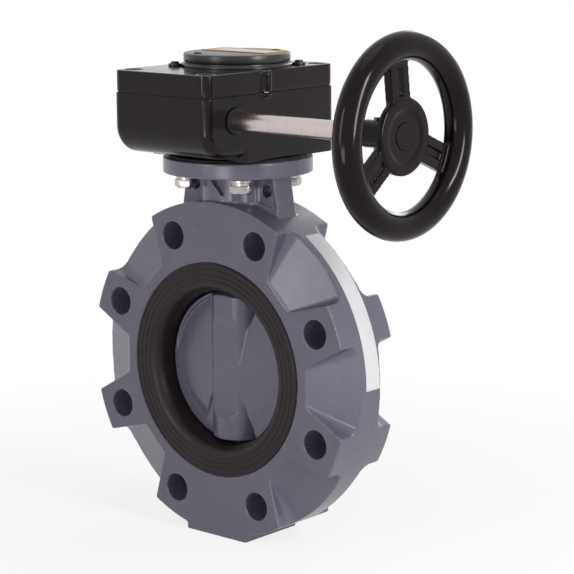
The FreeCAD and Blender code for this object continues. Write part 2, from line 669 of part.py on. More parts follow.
# Mounting gasket, bolts and washers between valve body and gear housing.
node("mounting_gasket", cut(
    "mounting_gasket",
    ring("gasket_blank", d.flange_radius - 4, d.neck_bore + 5, d.gasket_thick,
         (0, 0, d.flange_top)),
    *[cylinder("gasket_hole_%d" % number, d.bolt_radius + d.bolt_hole_gap, 4,
               (x, y, d.flange_top - 1)) for number, (x, y) in enumerate(bolt_spots)]))
pad_level = d.flange_bottom - d.pad_drop
washer_level = pad_level - d.washer_thick
lock_level = washer_level - d.lock_thick
node("flat_washers", group("flat_washers", *[
    ring("flat_washer_%d" % number, d.washer_radius, d.bolt_radius + 0.3, d.washer_thick,
         (x, y, washer_level))
    for number, (x, y) in enumerate(bolt_spots)]))
lock_washers = []
for number, (x, y) in enumerate(bolt_spots):
    blank = ring("lock_blank_%d" % number, d.lock_radius, d.bolt_radius + 0.2, d.lock_thick,
                 (x, y, lock_level))
    slit = block("lock_slit_%d" % number, (x - 0.5, x + 0.5), (y, y + d.lock_radius + 1),
                 (lock_level - 1, washer_level + 1))
    lock_washers.append(cut("lock_washer_%d" % number, blank, slit))
node("lock_washers", group("lock_washers", *lock_washers))
head_level = lock_level - d.hex_height
bolts = []
for number, (x, y) in enumerate(bolt_spots):
    head = common("bolt_head_%d" % number,
                  prism("bolt_hex_%d" % number, 6, d.hex_radius, d.hex_height,
                        (x, y, head_level)),
                  cone("bolt_cone_%d" % number, d.hex_radius - 1.1,
                       d.hex_radius - 1.1 + d.hex_height, d.hex_height, (x, y, head_level)))
    bolts.append(fuse("bolt_%d" % number, head,
                      cylinder("bolt_shank_%d" % number, d.bolt_radius,
                               d.gasket_top + d.bolt_grip - lock_level, (x, y, lock_level))))
node("flange_bolts", group("flange_bolts", *bolts))

# Gear housing: square box with a bellied front round the worm.
worm_y = -d.worm_centre
box_part = rounded(
    "box_part", block("box_back", (-d.housing_half, d.housing_half),
                      (-d.barrel_back, d.housing_back), (d.gasket_top, d.housing_top)),
    d.housing_round, lambda edge, middle: upright(edge, middle) and middle.y > 0)
belly = rounded(
    "belly", block("front_block", (-d.housing_half, d.housing_half),
                   (-d.housing_front, -d.barrel_back + 1),
                   (d.worm_z - d.barrel_radius, d.housing_top)),
    d.belly_round,
    lambda edge, middle: abs(middle.x) < 1 and middle.y < -d.worm_centre.value
    and middle.z < d.worm_z.value)
front_part = rounded(
    "front_part", belly, d.housing_round,
    lambda edge, middle: abs(middle.x) > d.housing_half.value - 0.01
    and middle.z < d.housing_top.value - 0.01 and middle.y < -d.barrel_back.value + 0.9)
rib_ends = []
for side, sign in (("right", 1), ("left", -1)):
    at = (sign * d.rib_x, -d.rib_y)
    rib_ends.append(cylinder("rib_low_%s" % side, d.rib_radius, 1, at + (d.housing_top - 1,)))
    rib_ends.append(cone("rib_tip_%s" % side, d.rib_radius - 1.2, d.rib_radius, 1.9,
                         at + (d.housing_top - 2.9,)))


def gear_room(name, top):
    """Space for the gear and the worm, shared by housing, gasket and cover."""
    return fuse(name, cylinder(name + "_gear", d.gear_space, top - d.gear_floor,
                               (0, 0, d.gear_floor)),
                cylinder(name + "_worm", d.worm_space, d.worm_space_half * 2,
                         (-d.worm_space_half, worm_y, d.worm_z), "x"))


cover_spots = [(sign * d.screw_x, y) for sign in (-1, 1) for y in (-d.screw_front, d.screw_back)]
bush_radius = d.gear_hub + d.bush_wall
shaft_bush_radius = d.shaft_radius + d.shaft_bush
housing_cuts = [
    gear_room("housing_room", d.housing_top + 1),
    cylinder("hub_bush_seat", bush_radius, d.floor_thick - 1, (0, 0, d.gasket_top + 2)),
    cylinder("housing_stem_hole", d.gear_hub + 1, 10, (0, 0, d.gasket_top - 1)),
    cylinder("shaft_bore", shaft_bush_radius, d.housing_half * 2 + 2,
             (-d.housing_half - 1, worm_y, d.worm_z), "x"),
    cylinder("seal_seat", shaft_bush_radius + d.seal_rim, d.seal_depth + 2,
             (d.housing_half - d.seal_depth, worm_y, d.worm_z), "x")]
housing_cuts += [cylinder("housing_tap_%d" % number, d.bolt_radius + d.snug_gap,
                          d.bolt_grip + 3, (x, y, d.gasket_top - 1))
                 for number, (x, y) in enumerate(bolt_spots)]
housing_cuts += [cylinder("cover_tap_%d" % number, 3.0 + d.snug_gap, 16,
                          (x, y, d.housing_top - 15))
                 for number, (x, y) in enumerate(cover_spots)]
housing_cuts += [cylinder("stop_tap_%d" % number, d.stop_radius + d.snug_gap,
                          d.housing_back, (sign * d.stop_x, d.stop_x / 2, d.worm_z), "y")
                 for number, sign in enumerate((-1, 1))]
housing_cuts += [cylinder("dowel_low_%d" % number, d.dowel_radius, 4,
                          (sign * d.rib_x, -d.rib_y, d.housing_top - 2))
                 for number, sign in enumerate((-1, 1))]
node("gear_housing", cut("gear_housing", fuse("housing_raw", box_part, front_part,
                                              *rib_ends), *housing_cuts))

# Cover gasket and cover.
cover_half = d.housing_half - d.housing_step
cover_front = d.housing_front - d.housing_step
cover_back = d.housing_back - d.housing_step


def cover_outline(name, inset, bottom, top, corner):
    return rounded(name, block(name + "_block", (-cover_half + inset, cover_half - inset),
                               (-cover_front + inset, cover_back - inset), (bottom, top)),
                   corner, upright)


gasket_cuts = [gear_room("gasket_room", d.cover_bottom + 2)]
gasket_cuts += [cylinder("cover_gasket_hole_%d" % number, 3.3, 4, (x, y, d.housing_top - 2))
                for number, (x, y) in enumerate(cover_spots)]
gasket_cuts += [cylinder("cover_gasket_dowel_%d" % number, 3.0, 4,
                         (sign * d.rib_x, -d.rib_y, d.housing_top - 2))
                for number, sign in enumerate((-1, 1))]
node("cover_gasket", cut("cover_gasket", cover_outline(
    "gasket_sheet", 0.6, d.housing_top, d.cover_bottom, d.housing_round - 0.6),
    *gasket_cuts))
cover_ribs = [cylinder("cover_rib_%d" % number, d.rib_radius, d.cover_thick - 1,
                       (sign * d.rib_x, -d.rib_y, d.cover_bottom))
              for number, sign in enumerate((-1, 1))]
cover_cuts = [
    gear_room("cover_room", d.cover_bottom + d.cover_room),
    cylinder("cover_bush_seat", bush_radius, d.hub_bush + d.hub_seal + 0.2,
             (0, 0, d.cover_bottom)),
    cylinder("cover_hub_hole", d.gear_hub + 0.4, d.cover_thick + 1, (0, 0, d.cover_bottom))]
cover_cuts += [cylinder("cover_hole_%d" % number, 3.3, d.cover_thick + 2,
                        (x, y, d.cover_bottom - 1))
               for number, (x, y) in enumerate(cover_spots)]
cover_cuts += [cylinder("cover_sink_%d" % number, 5.7, d.head_room + 1,
                        (x, y, d.cover_top - d.head_room))
               for number, (x, y) in enumerate(cover_spots)]
cover_cuts += [cylinder("dowel_high_%d" % number, d.dowel_radius, 8,
                        (sign * d.rib_x, -d.rib_y, d.cover_bottom - 1))
               for number, sign in enumerate((-1, 1))]
base_spots = [polar(d.ear_radius, angle) for angle in (45, 225)]
cover_cuts += [cylinder("base_tap_%d" % number, 1.6, 7, (x, y, d.cover_top - 6))
               for number, (x, y) in enumerate(base_spots)]
cover_blank = rounded(
    "cover_soft", cover_outline("cover_blank", 0.0, d.cover_bottom, d.cover_top,
                                d.housing_round),
    1.0, lambda edge, middle: abs(middle.z - d.cover_top.value) < 1e-6)
node("gear_cover", cut("gear_cover", fuse("cover_raw", cover_blank, *cover_ribs), *cover_cuts))
node("dowel_pins", group("dowel_pins", *[
    cylinder("dowel_%d" % number, d.dowel_radius - d.snug_gap / 2, 7.8,
             (sign * d.rib_x, -d.rib_y, d.housing_top - 1.8))
    for number, sign in enumerate((-1, 1))]))


def socket_screw(name, x, y, under_head, head, head_length, shank, length):
    """Screw with a round head and a hexagon socket, head up."""
    raw = fuse(name + "_raw",
               cylinder(name + "_head", head, head_length, (x, y, under_head)),
               cylinder(name + "_shank", shank, length, (x, y, under_head - length)))
    return cut(name, raw, prism(name + "_socket", 6, head * 0.55, head_length * 0.6 + 1,
                                (x, y, under_head + head_length * 0.4)))


node("cover_screws", group("cover_screws", *[
    socket_screw("cover_screw_%d" % number, x, y, d.cover_top - d.head_room, 5.0, 5.0, 3.0,
                 d.cover_thick - d.head_room + 12)
    for number, (x, y) in enumerate(cover_spots)]))

# Quadrant gear. The tooth flanks are involutes of the worm's rack, drawn at the bottom and at
# the top of the face and joined by ruled faces, turned by the lead of the worm thread.
tooth_count = int(d.teeth.value)
module = d.module.value
gear_pitch = d.gear_pitch.value
tooth_step = 2 * math.pi / tooth_count
pressure = math.radians(20)
base_circle = gear_pitch * math.cos(pressure)
tip_circle = gear_pitch + module * 0.92
root_circle = gear_pitch - module * 1.25
lead_slope = module / (2 * d.worm_pitch.value)
FIRST_TOOTH, LAST_TOOTH = -7, 1


def involute(angle):
    return math.tan(angle) - angle


def half_tooth(radius):
    """Half of the tooth angle at a radius."""
    at_pitch = math.pi / (2 * tooth_count) - d.backlash.value / 2 / gear_pitch
    if radius <= base_circle:
        return at_pitch + involute(pressure)
    return at_pitch + involute(pressure) - involute(math.acos(base_circle / radius))


def gear_section(height):
    """Toothed edge of the sector at a height above the worm axis."""
    twist = -lead_slope * height / gear_pitch
    steps = [root_circle, base_circle + 0.15]
    steps += [base_circle + (tip_circle - base_circle) * part for part in (0.35, 0.7, 1.0)]
    points = []
    for tooth in range(FIRST_TOOTH, LAST_TOOTH + 1):
        middle = math.radians(270) + tooth * tooth_step + twist
        rising = [(radius, middle - half_tooth(radius)) for radius in steps]
        falling = [(radius, middle + half_tooth(radius)) for radius in reversed(steps)]
        points += rising + falling
    first = points[0][1]
    last = points[-1][1]
    inner = root_circle - 3
    spread = [last + (first - last) * part / 8 for part in range(9)]
    points += [(inner, angle) for angle in spread]
    corners = [V(radius * math.cos(angle), radius * math.sin(angle), height)
               for radius, angle in points]
    return Part.makePolygon(corners + corners[:1])


face_half = d.face_half.value
toothing = shape_node("gear_toothing", Part.makeLoft(
    [gear_section(-face_half), gear_section(face_half)], True, True), (0, 0, d.worm_z))
stop_turn = math.radians(d.stop_angle.value)
plate_points = [V(0, 0, 0)]
for part in range(13):
    angle = math.pi - stop_turn + (math.pi / 2 + 2 * stop_turn) * part / 12
    plate_points.append(V(root_circle * math.cos(angle), root_circle * math.sin(angle), 0))
plate_shape = Part.Face(Part.makePolygon(plate_points + plate_points[:1])).extrude(
    V(0, 0, 2 * face_half))
gear_plate = shape_node("gear_plate", plate_shape, (0, 0, d.worm_z - d.face_half))
hub_low = d.gasket_top + 3
hub_top = d.cover_top + 0.6
gear_cuts = [
    block("gear_square", (-square, square), (-square, square), (hub_low - 1, d.stem_top + 3)),
    cylinder("gear_stem_room", d.stem_radius + 0.3, d.stem_shoulder + 0.5 - hub_low + 1,
             (0, 0, hub_low - 1)),
    cylinder("carrier_socket", 8.0, 14, (0, 0, hub_top - 13))]
node("quadrant_gear", cut("quadrant_gear", fuse(
    "gear_raw", toothing, gear_plate,
    cylinder("gear_hub_raw", d.gear_hub, hub_top - hub_low, (0, 0, hub_low))), *gear_cuts))
node("lower_hub_bush", ring("lower_hub_bush", bush_radius - d.snug_gap,
                            d.gear_hub + d.running_gap, d.floor_thick - 2,
                            (0, 0, d.gasket_top + 2)))
node("upper_hub_bush", ring("upper_hub_bush", bush_radius - d.snug_gap,
                            d.gear_hub + d.running_gap, d.hub_bush,
                            (0, 0, d.cover_bottom)))
node("hub_seal", ring("hub_seal", bush_radius - d.snug_gap, d.gear_hub + d.running_gap,
                      d.hub_seal, (0, 0, d.cover_bottom + d.hub_bush + 0.1)))

# Stop screws with lock nuts in the back wall; they limit the swing of the gear.
stop_tip = (d.stop_x + d.stop_radius) * math.tan(stop_turn) + d.stop_gap
stop_end = d.housing_back + 8.4
stop_screws = []
stop_nuts = []
for number, sign in enumerate((-1, 1)):
    x = sign * d.stop_x
    rod = cylinder("stop_rod_%d" % number, d.stop_radius, stop_end - stop_tip,
                   (x, stop_tip, d.worm_z), "y")
    stop_screws.append(cut("stop_screw_%d" % number, rod,
                           prism("stop_socket_%d" % number, 6, 1.7, 4,
                                 (x, stop_end - 3, d.worm_z), "y")))
    stop_nuts.append(cut("stop_nut_%d" % number,
                         prism("stop_nut_hex_%d" % number, 6, 5.77, 5,
                               (x, d.housing_back, d.worm_z), "y"),
                         cylinder("stop_nut_hole_%d" % number, d.stop_radius + d.snug_gap, 7,
                                  (x, d.housing_back - 1, d.worm_z), "y")))
node("stop_screws", group("stop_screws", *stop_screws))
node("stop_nuts", group("stop_nuts", *stop_nuts))

# Worm: one left hand thread swept along a helix on the core.
pitch = math.pi * module
thread_tip = d.worm_pitch.value + module * 0.92
thread_root = d.worm_pitch.value - module * 1.25
thread_half = pitch / 4 - d.backlash.value / 4
thread_length = 2 * d.worm_half.value - pitch * 1.2
slope = math.tan(pressure)


def thread_corner(radius, sign):
    half = thread_half - (radius - d.worm_pitch.value) * slope
    return V(radius, 0, sign * half)


helix = Part.makeHelix(pitch, thread_length, d.worm_pitch.value, 0, True)
thread_points = [thread_corner(thread_root - 0.6, -1), thread_corner(thread_tip, -1),
                 thread_corner(thread_tip, 1), thread_corner(thread_root - 0.6, 1)]
thread_wire = Part.makePolygon(thread_points + thread_points[:1])
thread = Part.Wire(helix.Edges).makePipeShell([thread_wire], True, True)
thread.rotate(V(), V(0, 0, 1), 90 + 360 * (pitch / 2 + thread_length / 2) / pitch)
thread.translate(V(0, 0, -thread_length / 2))
thread.rotate(V(), V(0, 1, 0), 90)
thread_node = shape_node("worm_thread", thread, (0, worm_y, d.worm_z))
core_radius = d.worm_pitch - d.module * 1.25
worm_core = cylinder("worm_core", core_radius, d.worm_half * 2,
                     (-d.worm_half, worm_y, d.worm_z), "x")
worm_raw = fuse("worm_raw", thread_node, worm_core)
pin_x = d.worm_half - 3
node("worm", cut("worm", worm_raw,
                 cylinder("worm_bore", d.shaft_radius + 0.02, d.worm_half * 2 + 2,
                          (-d.worm_half - 1, worm_y, d.worm_z), "x"),
                 cylinder("worm_pin_hole", 1.5, 40, (pin_x, worm_y - 20, d.worm_z), "y")))
node("worm_pin", cylinder("worm_pin", 1.5 - 0.02, core_radius * 2 - 1,
                          (pin_x, worm_y - core_radius + 0.5, d.worm_z), "y"))

# Input shaft with its bushes, thrust washers, seal and end plug.
shaft_start = -d.housing_half + 4
shaft_end = d.wheel_x - 7
wheel_pin_x = d.wheel_boss_start + 8
node("input_shaft", cut(
    "input_shaft",
    cylinder("shaft_rod", d.shaft_radius, shaft_end - shaft_start,
             (shaft_start, worm_y, d.worm_z), "x"),
    cylinder("shaft_worm_pin_hole", 1.5, 40, (pin_x, worm_y - 20, d.worm_z), "y"),
    cylinder("shaft_wheel_pin_hole", 1.75, 40, (wheel_pin_x, worm_y, d.worm_z - 20))))
bush_start = d.worm_half + 1.8
bush_end = d.housing_half - d.seal_depth
node("shaft_bushes", group("shaft_bushes", *[
    ring("shaft_bush_%d" % number, shaft_bush_radius - d.snug_gap,
         d.shaft_radius + d.running_gap, bush_end - bush_start,
         (start, worm_y, d.worm_z), "x")
    for number, start in enumerate((bush_start, -bush_end))]))
node("thrust_washers", group("thrust_washers", *[
    ring("thrust_washer_%d" % number, 11.0, d.shaft_radius + d.running_gap, 1.5,
         (start, worm_y, d.worm_z), "x")
    for number, start in enumerate((d.worm_half + 0.3, -d.worm_half - 1.8))]))
node("shaft_seal", cut(
    "shaft_seal",
    rounded("seal_round", cylinder("seal_blank", shaft_bush_radius + d.seal_rim - d.snug_gap,
                                   d.seal_thick, (bush_end, worm_y, d.worm_z), "x"),
            0.7, lambda edge, middle: middle.x > bush_end.value + d.seal_thick.value - 0.1),
    cylinder("seal_hole", d.shaft_radius + d.running_gap, d.seal_thick + 2,
             (bush_end - 1, worm_y, d.worm_z), "x")))
node("end_plug", cylinder("end_plug", shaft_bush_radius - d.snug_gap, 2.6,
                          (-d.housing_half + 0.2, worm_y, d.worm_z), "x"))

# Position indicator: fixed base with two ears, turning carrier, cap and plate.
base_raw = fuse(
    "base_raw",
    rounded("base_wide", cylinder("base_blank", d.base_radius, d.base_top - d.cover_top,
                                  (0, 0, d.cover_top)),
            0.6, lambda edge, middle: middle.z > d.base_top.value - 0.1
            and edge.Curve.TypeId == "Part::GeomCircle"),
    cylinder("base_neck_raw", d.base_neck, d.neck_top - d.cover_top, (0, 0, d.cover_top)),
    *[cylinder("ear_%d" % number, 4.4, d.ear_thick, (x, y, d.cover_top))
      for number, (x, y) in enumerate(base_spots)])
node("indicator_base", cut(
    "indicator_base", base_raw,
    cylinder("base_hole_cut", d.base_hole, 10, (0, 0, d.cover_top - 1)),
    *[cylinder("ear_hole_%d" % number, 1.8, 10, (x, y, d.cover_top - 1))
      for number, (x, y) in enumerate(base_spots)]))
node("base_screws", group("base_screws", *[
    socket_screw("base_screw_%d" % number, x, y, d.cover_top + d.ear_thick, 2.75, 1.3, 1.55,
                 d.ear_thick + 5)
    for number, (x, y) in enumerate(base_spots)]))
cap_spots = [polar(d.cap_screw_circle, angle) for angle in (65, 245)]
node("indicator_carrier", cut(
    "indicator_carrier",
    fuse("carrier_raw",
         cylinder("carrier_plate", d.base_hole - 0.6, d.cap_bottom - hub_top, (0, 0, hub_top)),
         cylinder("carrier_spigot", 8.0 - d.snug_gap, 12, (0, 0, hub_top - 12))),
    *[cylinder("carrier_tap_%d" % number, 1.5, 10, (x, y, hub_top - 1))
      for number, (x, y) in enumerate(cap_spots)]))
plate_top = d.cap_top + 0.2
plate_x = (d.plate_edge - d.cap_radius, d.cap_radius - d.plate_edge - 4)
plate_y = (-2, cap_spots[0][1] - d.plate_gap)
plate_room = block("plate_room", plate_x, plate_y, (d.cap_top - 0.6, d.cap_top + 2))
cap_round = rounded(
    "cap_round", cylinder("cap_blank", d.cap_radius, d.cap_top - d.cap_bottom,
                          (0, 0, d.cap_bottom)),
    0.8, lambda edge, middle: edge.Curve.TypeId == "Part::GeomCircle")
cap_cuts = [plate_room]
cap_cuts += [cylinder("cap_hole_%d" % number, 1.8, 10, (x, y, d.cap_bottom - 1))
             for number, (x, y) in enumerate(cap_spots)]
cap_cuts += [cylinder("cap_sink_%d" % number, 3.2, 3, (x, y, d.cap_top - 1.4))
             for number, (x, y) in enumerate(cap_spots)]
node("indicator_cap", cut("indicator_cap", cap_round, *cap_cuts))
node("indicator_plate", common(
    "indicator_plate",
    block("plate_block", (plate_x[0] + d.snug_gap, plate_x[1] - d.snug_gap),
          (plate_y[0] + d.snug_gap, plate_y[1] - d.snug_gap), (d.cap_top - 0.6, plate_top)),
    cylinder("plate_limit", d.cap_radius - 1.2, 4, (0, 0, d.cap_top - 1))))
node("cap_screws", group("cap_screws", *[
    socket_screw("cap_screw_%d" % number, x, y, d.cap_top - 1.4, 2.8, 2.2, 1.45, 6.0)
    for number, (x, y) in enumerate(cap_spots)]))

# Handwheel: round rim, hub disc, boss and three grooved spokes.
rim = primitive("Torus", "wheel_rim", (d.wheel_x, worm_y, d.worm_z), "x",
                Radius1=d.wheel_ring, Radius2=d.rim_radius)
disc_front = d.wheel_x + 1
hub_profile = [(d.wheel_boss_start, 0), (disc_front - 0.8, 0),
               (disc_front - 0.8, d.wheel_disc - 7), (disc_front, d.wheel_disc - 5),
               (disc_front, d.wheel_disc - 1.2), (disc_front - 1.2, d.wheel_disc),
               (disc_front - 4.4, d.wheel_disc), (disc_front - 6.4, d.wheel_boss + 3.5),
               (disc_front - 8.4, d.wheel_boss),
               (d.wheel_boss_start, d.wheel_boss)]
wheel_hub = revolve("wheel_hub", hub_profile, "z", V(1, 0, 0), (0, worm_y, d.worm_z))
spokes = []
grooves = []
for number, angle in enumerate((90, 210, 330)):
    lean = math.radians(angle + d.wheel_turn.value)
    turn = FreeCAD.Rotation(V(1, 0, 0), math.degrees(lean) - 90)
    arm = primitive("Box", "spoke_%d" % number, (0, 0, 0), Length=d.spoke_thick,
                    Width=d.spoke_half * 2, Height=d.wheel_ring - d.wheel_disc + 3.5)
    slot = primitive("Box", "spoke_slot_%d" % number, (0, 0, 0), Length=2.6, Width=5.4,
                     Height=d.wheel_ring - d.wheel_disc - 15.4)
    for part, back, half, start in (
            (arm, d.spoke_thick, d.spoke_half.value, d.wheel_disc.value - 3.5),
            (slot, 1.6, 2.7, d.wheel_disc.value + 2.5)):
        corner = turn.multVec(V(0, -half, start))
        for key, text in zip("xyz", (text_of(d.wheel_x - back), text_of(worm_y + corner.y),
                                     text_of(d.worm_z + corner.z))):
            part.setExpression("Placement.Base." + key, text)
        part.Placement.Rotation = turn
    spokes.append(arm)
    grooves.append(slot)
wheel_raw = fuse("wheel_raw", rim, wheel_hub, *spokes)
node("handwheel", cut(
    "handwheel", wheel_raw,
    cylinder("wheel_bore", d.shaft_radius + 0.02, shaft_end - d.wheel_boss_start + 8,
             (d.wheel_boss_start - 8, worm_y, d.worm_z), "x"),
    cylinder("wheel_pin_hole", 1.75, 40, (wheel_pin_x, worm_y, d.worm_z - 20)),
    cylinder("hub_plug_seat", d.plug_radius, 4, (disc_front - 2.3, worm_y, d.worm_z), "x"),
    *grooves))
node("hub_plug", rounded(
    "hub_plug", cylinder("plug_blank", d.plug_radius - d.snug_gap, 1.9,
                         (disc_front - 2.3, worm_y, d.worm_z), "x"),
    0.4, lambda edge, middle: middle.x > disc_front.value - 1))
node("wheel_pin", cylinder("wheel_pin", 1.75 - 0.02, d.wheel_boss * 2 + 2.6,
                           (wheel_pin_x, worm_y, d.worm_z - d.wheel_boss - 1)))

# Bare label on the rim of the body.
label_band = ring("label_band", d.body_radius + d.label_thick, d.body_radius + 0.03,
                  d.label_half * 2, (0, d.label_shift - d.label_half, 0), "y")
reach = d.body_radius * 2
label_sector = extrude("label_sector", [(0, 0), (reach, reach * -0.009), (reach, reach * 0.8),
                                        (reach * 0.55, reach * 0.834)],
                       "y", d.label_shift - d.label_half - 1, d.label_half * 2 + 2)
node("rim_label", common("rim_label", label_band, label_sector))

doc.recompute()
faults = []
for obj in doc.Objects:
    if "Invalid" in obj.State or "Error" in obj.State:
        faults.append("%s state %s" % (obj.Name, obj.State))
for name, obj in nodes.items():
    shape = obj.Shape
    if shape.isNull() or not shape.isValid() or not shape.Solids:
        faults.append("%s has no valid solid" % name)
if faults:
    raise RuntimeError("; ".join(faults))
for name, obj in nodes.items():
    obj.Shape.exportStep("parts/%s.step" % name)
    print("%s: %d solid(s), volume %.1f" % (name, len(obj.Shape.Solids), obj.Shape.Volume))
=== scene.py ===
"""Looks of a gear operated lug butterfly valve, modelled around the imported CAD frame."""

import logging
import math
from collections.abc import Callable, Sequence
from dataclasses import dataclass, field
from enum import Enum

import bpy
from mathutils import Matrix, Vector


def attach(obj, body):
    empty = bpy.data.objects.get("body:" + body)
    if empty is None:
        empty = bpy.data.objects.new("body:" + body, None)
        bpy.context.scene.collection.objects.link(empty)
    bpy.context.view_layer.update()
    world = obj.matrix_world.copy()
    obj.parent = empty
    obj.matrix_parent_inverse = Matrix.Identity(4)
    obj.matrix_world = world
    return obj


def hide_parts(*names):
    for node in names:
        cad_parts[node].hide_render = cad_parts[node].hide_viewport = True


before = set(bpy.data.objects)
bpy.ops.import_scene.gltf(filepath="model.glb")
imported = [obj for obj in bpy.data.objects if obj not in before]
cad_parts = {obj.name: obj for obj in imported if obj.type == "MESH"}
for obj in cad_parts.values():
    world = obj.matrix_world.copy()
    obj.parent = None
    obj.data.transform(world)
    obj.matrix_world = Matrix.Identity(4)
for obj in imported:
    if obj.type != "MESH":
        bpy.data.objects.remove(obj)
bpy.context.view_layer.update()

LOG = logging.getLogger("valve")
Point = tuple[float, float, float]
FaceTest = Callable[[bpy.types.MeshPolygon], bool]

# Patterns that several pieces share, in mm and degrees
QUARTERS = (45, 135, 225, 315)
BOLT_CIRCLE = 35.0
LID_SCREWS = [(x, y) for x in (-32.2, 32.2) for y in (-64.6, 43.0)]
EAR_CIRCLE = 41.0
EAR_ANGLES = (45, 225)
DIAL_CIRCLE = 28.0
DIAL_ANGLES = (65, 245)


class Axis(Enum):
    """Row axis that a turned or round piece lies along, with the turn from Z to it."""

    X = (0.0, math.pi / 2, 0.0)
    Y = (-math.pi / 2, 0.0, 0.0)
    Z = (0.0, 0.0, 0.0)


class Join(Enum):
    """How one solid is worked into another."""

    ADD = "UNION"
    CUT = "DIFFERENCE"
    KEEP = "INTERSECT"


# Modelling tools


def mm(value: float) -> float:
    """A length in millimetres as metres."""
    return value / 1000.0


def place(point: Sequence[float]) -> Point:
    """A point in millimetres as metres."""
    return tuple(mm(part) for part in point)


def around(radius: float, degrees: float) -> tuple[float, float]:
    """Point on a circle, as its two coordinates in the circle's plane."""
    angle = math.radians(degrees)
    return radius * math.cos(angle), radius * math.sin(angle)


def hold(*pieces: bpy.types.Object) -> bpy.types.Object:
    """Select only these objects and make the first one active.

    Args:
        pieces: the objects that the next operator works on.

    Returns:
        The active object.
    """
    bpy.ops.object.select_all(action="DESELECT")
    for piece in pieces:
        piece.select_set(True)
    bpy.context.view_layer.objects.active = pieces[0]
    return pieces[0]


def settle(piece: bpy.types.Object) -> bpy.types.Object:
    """Write the object's place, turn and scale into its mesh."""
    hold(piece)
    bpy.ops.object.transform_apply(location=True, rotation=True, scale=True)
    return piece


def rod(name: str, radius: float, start: Point, length: float, axis: Axis = Axis.Z,
        steps: int = 96, tip: float | None = None) -> bpy.types.Object:
    """Round bar or cone frustum from a start point along an axis.

    Args:
        name: object name.
        radius: radius at the start, in mm.
        start: centre of the start face, in mm.
        length: length along the axis, in mm.
        axis: the direction it runs in.
        steps: sides of the round.
        tip: radius at the end, in mm, where it differs.

    Returns:
        The new object with its place in its mesh.
    """
    bpy.ops.object.select_all(action="DESELECT")
    bpy.ops.mesh.primitive_cone_add(
        vertices=steps, radius1=mm(radius), radius2=mm(radius if tip is None else tip),
        depth=mm(length), location=(0, 0, mm(length) / 2))
    piece = settle(bpy.context.object)
    piece.name = name
    piece.rotation_euler = axis.value
    piece.location = place(start)
    return settle(piece)


def slab(name: str, low: Point, high: Point) -> bpy.types.Object:
    """Box between two corners, given in mm."""
    bpy.ops.object.select_all(action="DESELECT")
    middle = [(a + b) / 2 for a, b in zip(low, high)]
    bpy.ops.mesh.primitive_cube_add(size=1, location=place(middle))
    piece = bpy.context.object
    piece.name = name
    piece.scale = place([b - a for a, b in zip(low, high)])
    return settle(piece)


def drawn(name: str, outline: Sequence[Point]) -> bpy.types.Object:
    """Closed wire through the given points in mm, started from a circle with as many corners."""
    bpy.ops.object.select_all(action="DESELECT")
    bpy.ops.mesh.primitive_circle_add(vertices=len(outline), fill_type="NOTHING")
    piece = bpy.context.object
    piece.name = name
    for vertex, point in zip(piece.data.vertices, outline):
        vertex.co = place(point)
    return piece


def edit(piece: bpy.types.Object, *steps: Callable[[], object],
         faces: FaceTest | None = None) -> bpy.types.Object:
    """Run edit mode operators on the whole mesh or on the faces that pass a test.

    Args:
        piece: the object to edit.
        steps: operators without arguments, in order.
        faces: test of a face, or None for everything.

    Returns:
        The same object.
    """
    hold(piece)
    tools = bpy.context.tool_settings
    tools.mesh_select_mode = (faces is None, False, faces is not None)
    mesh = piece.data
    for vertex in mesh.vertices:
        vertex.select = faces is None
    for side in mesh.edges:
        side.select = faces is None
    for face in mesh.polygons:
        face.select = faces is None or faces(face)
    bpy.ops.object.mode_set(mode="EDIT")
    for step in steps:
        step()
    bpy.ops.object.mode_set(mode="OBJECT")
    return piece


def close_up(piece: bpy.types.Object) -> bpy.types.Object:
    """Merge doubled points and turn all faces outwards."""
    return edit(piece, lambda: bpy.ops.mesh.remove_doubles(threshold=1e-6),
                lambda: bpy.ops.mesh.dissolve_degenerate(threshold=1e-7),
                lambda: bpy.ops.mesh.normals_make_consistent(inside=False))


def turned(name: str, profile: Sequence[tuple[float, float]], centre: Point = (0, 0, 0),
           axis: Axis = Axis.Z, steps: int = 128) -> bpy.types.Object:
    """Turned solid: a closed profile spun round its axis.

    Args:
        name: object name.
        profile: (radius, distance along the axis) points in mm.
        centre: origin of the profile in mm.
        axis: the axis of the spin.
        steps: steps of the spin.

    Returns:
        The turned object.
    """
    piece = drawn(name, [(radius, 0, along) for radius, along in profile])
    edit(piece, lambda: bpy.ops.mesh.spin(steps=steps, angle=math.tau, center=(0, 0, 0),
                                          axis=(0, 0, 1)))
    close_up(piece)
    piece.rotation_euler = axis.value
    piece.location = place(centre)
    return settle(piece)


def pushed(name: str, outline: Sequence[Point], way: Point) -> bpy.types.Object:
    """Straight sided solid: a filled outline pushed along a vector.

    Args:
        name: object name.
        outline: corner points in mm.
        way: the vector in mm.

    Returns:
        The closed solid.
    """
    piece = drawn(name, outline)
    edit(piece, lambda: bpy.ops.mesh.edge_face_add(),
         lambda: bpy.ops.mesh.extrude_region_move(
             TRANSFORM_OT_translate={"value": place(way)}))
    return close_up(piece)


def lofted(name: str, first: Sequence[Point], last: Sequence[Point]) -> bpy.types.Object:
    """Solid between two outlines with as many corners, both in mm.

    Args:
        name: object name.
        first: the start outline, which is filled and extruded.
        last: where the extruded corners go.

    Returns:
        The closed solid.
    """
    piece = drawn(name, first)
    edit(piece, lambda: bpy.ops.mesh.edge_face_add(),
         lambda: bpy.ops.mesh.extrude_region_move(
             TRANSFORM_OT_translate={"value": (0, 0, 0)}))
    count = len(first)
    for vertex, point in zip(piece.data.vertices[count:], last):
        vertex.co = place(point)
    return edit(piece, lambda: bpy.ops.mesh.normals_make_consistent(inside=False))


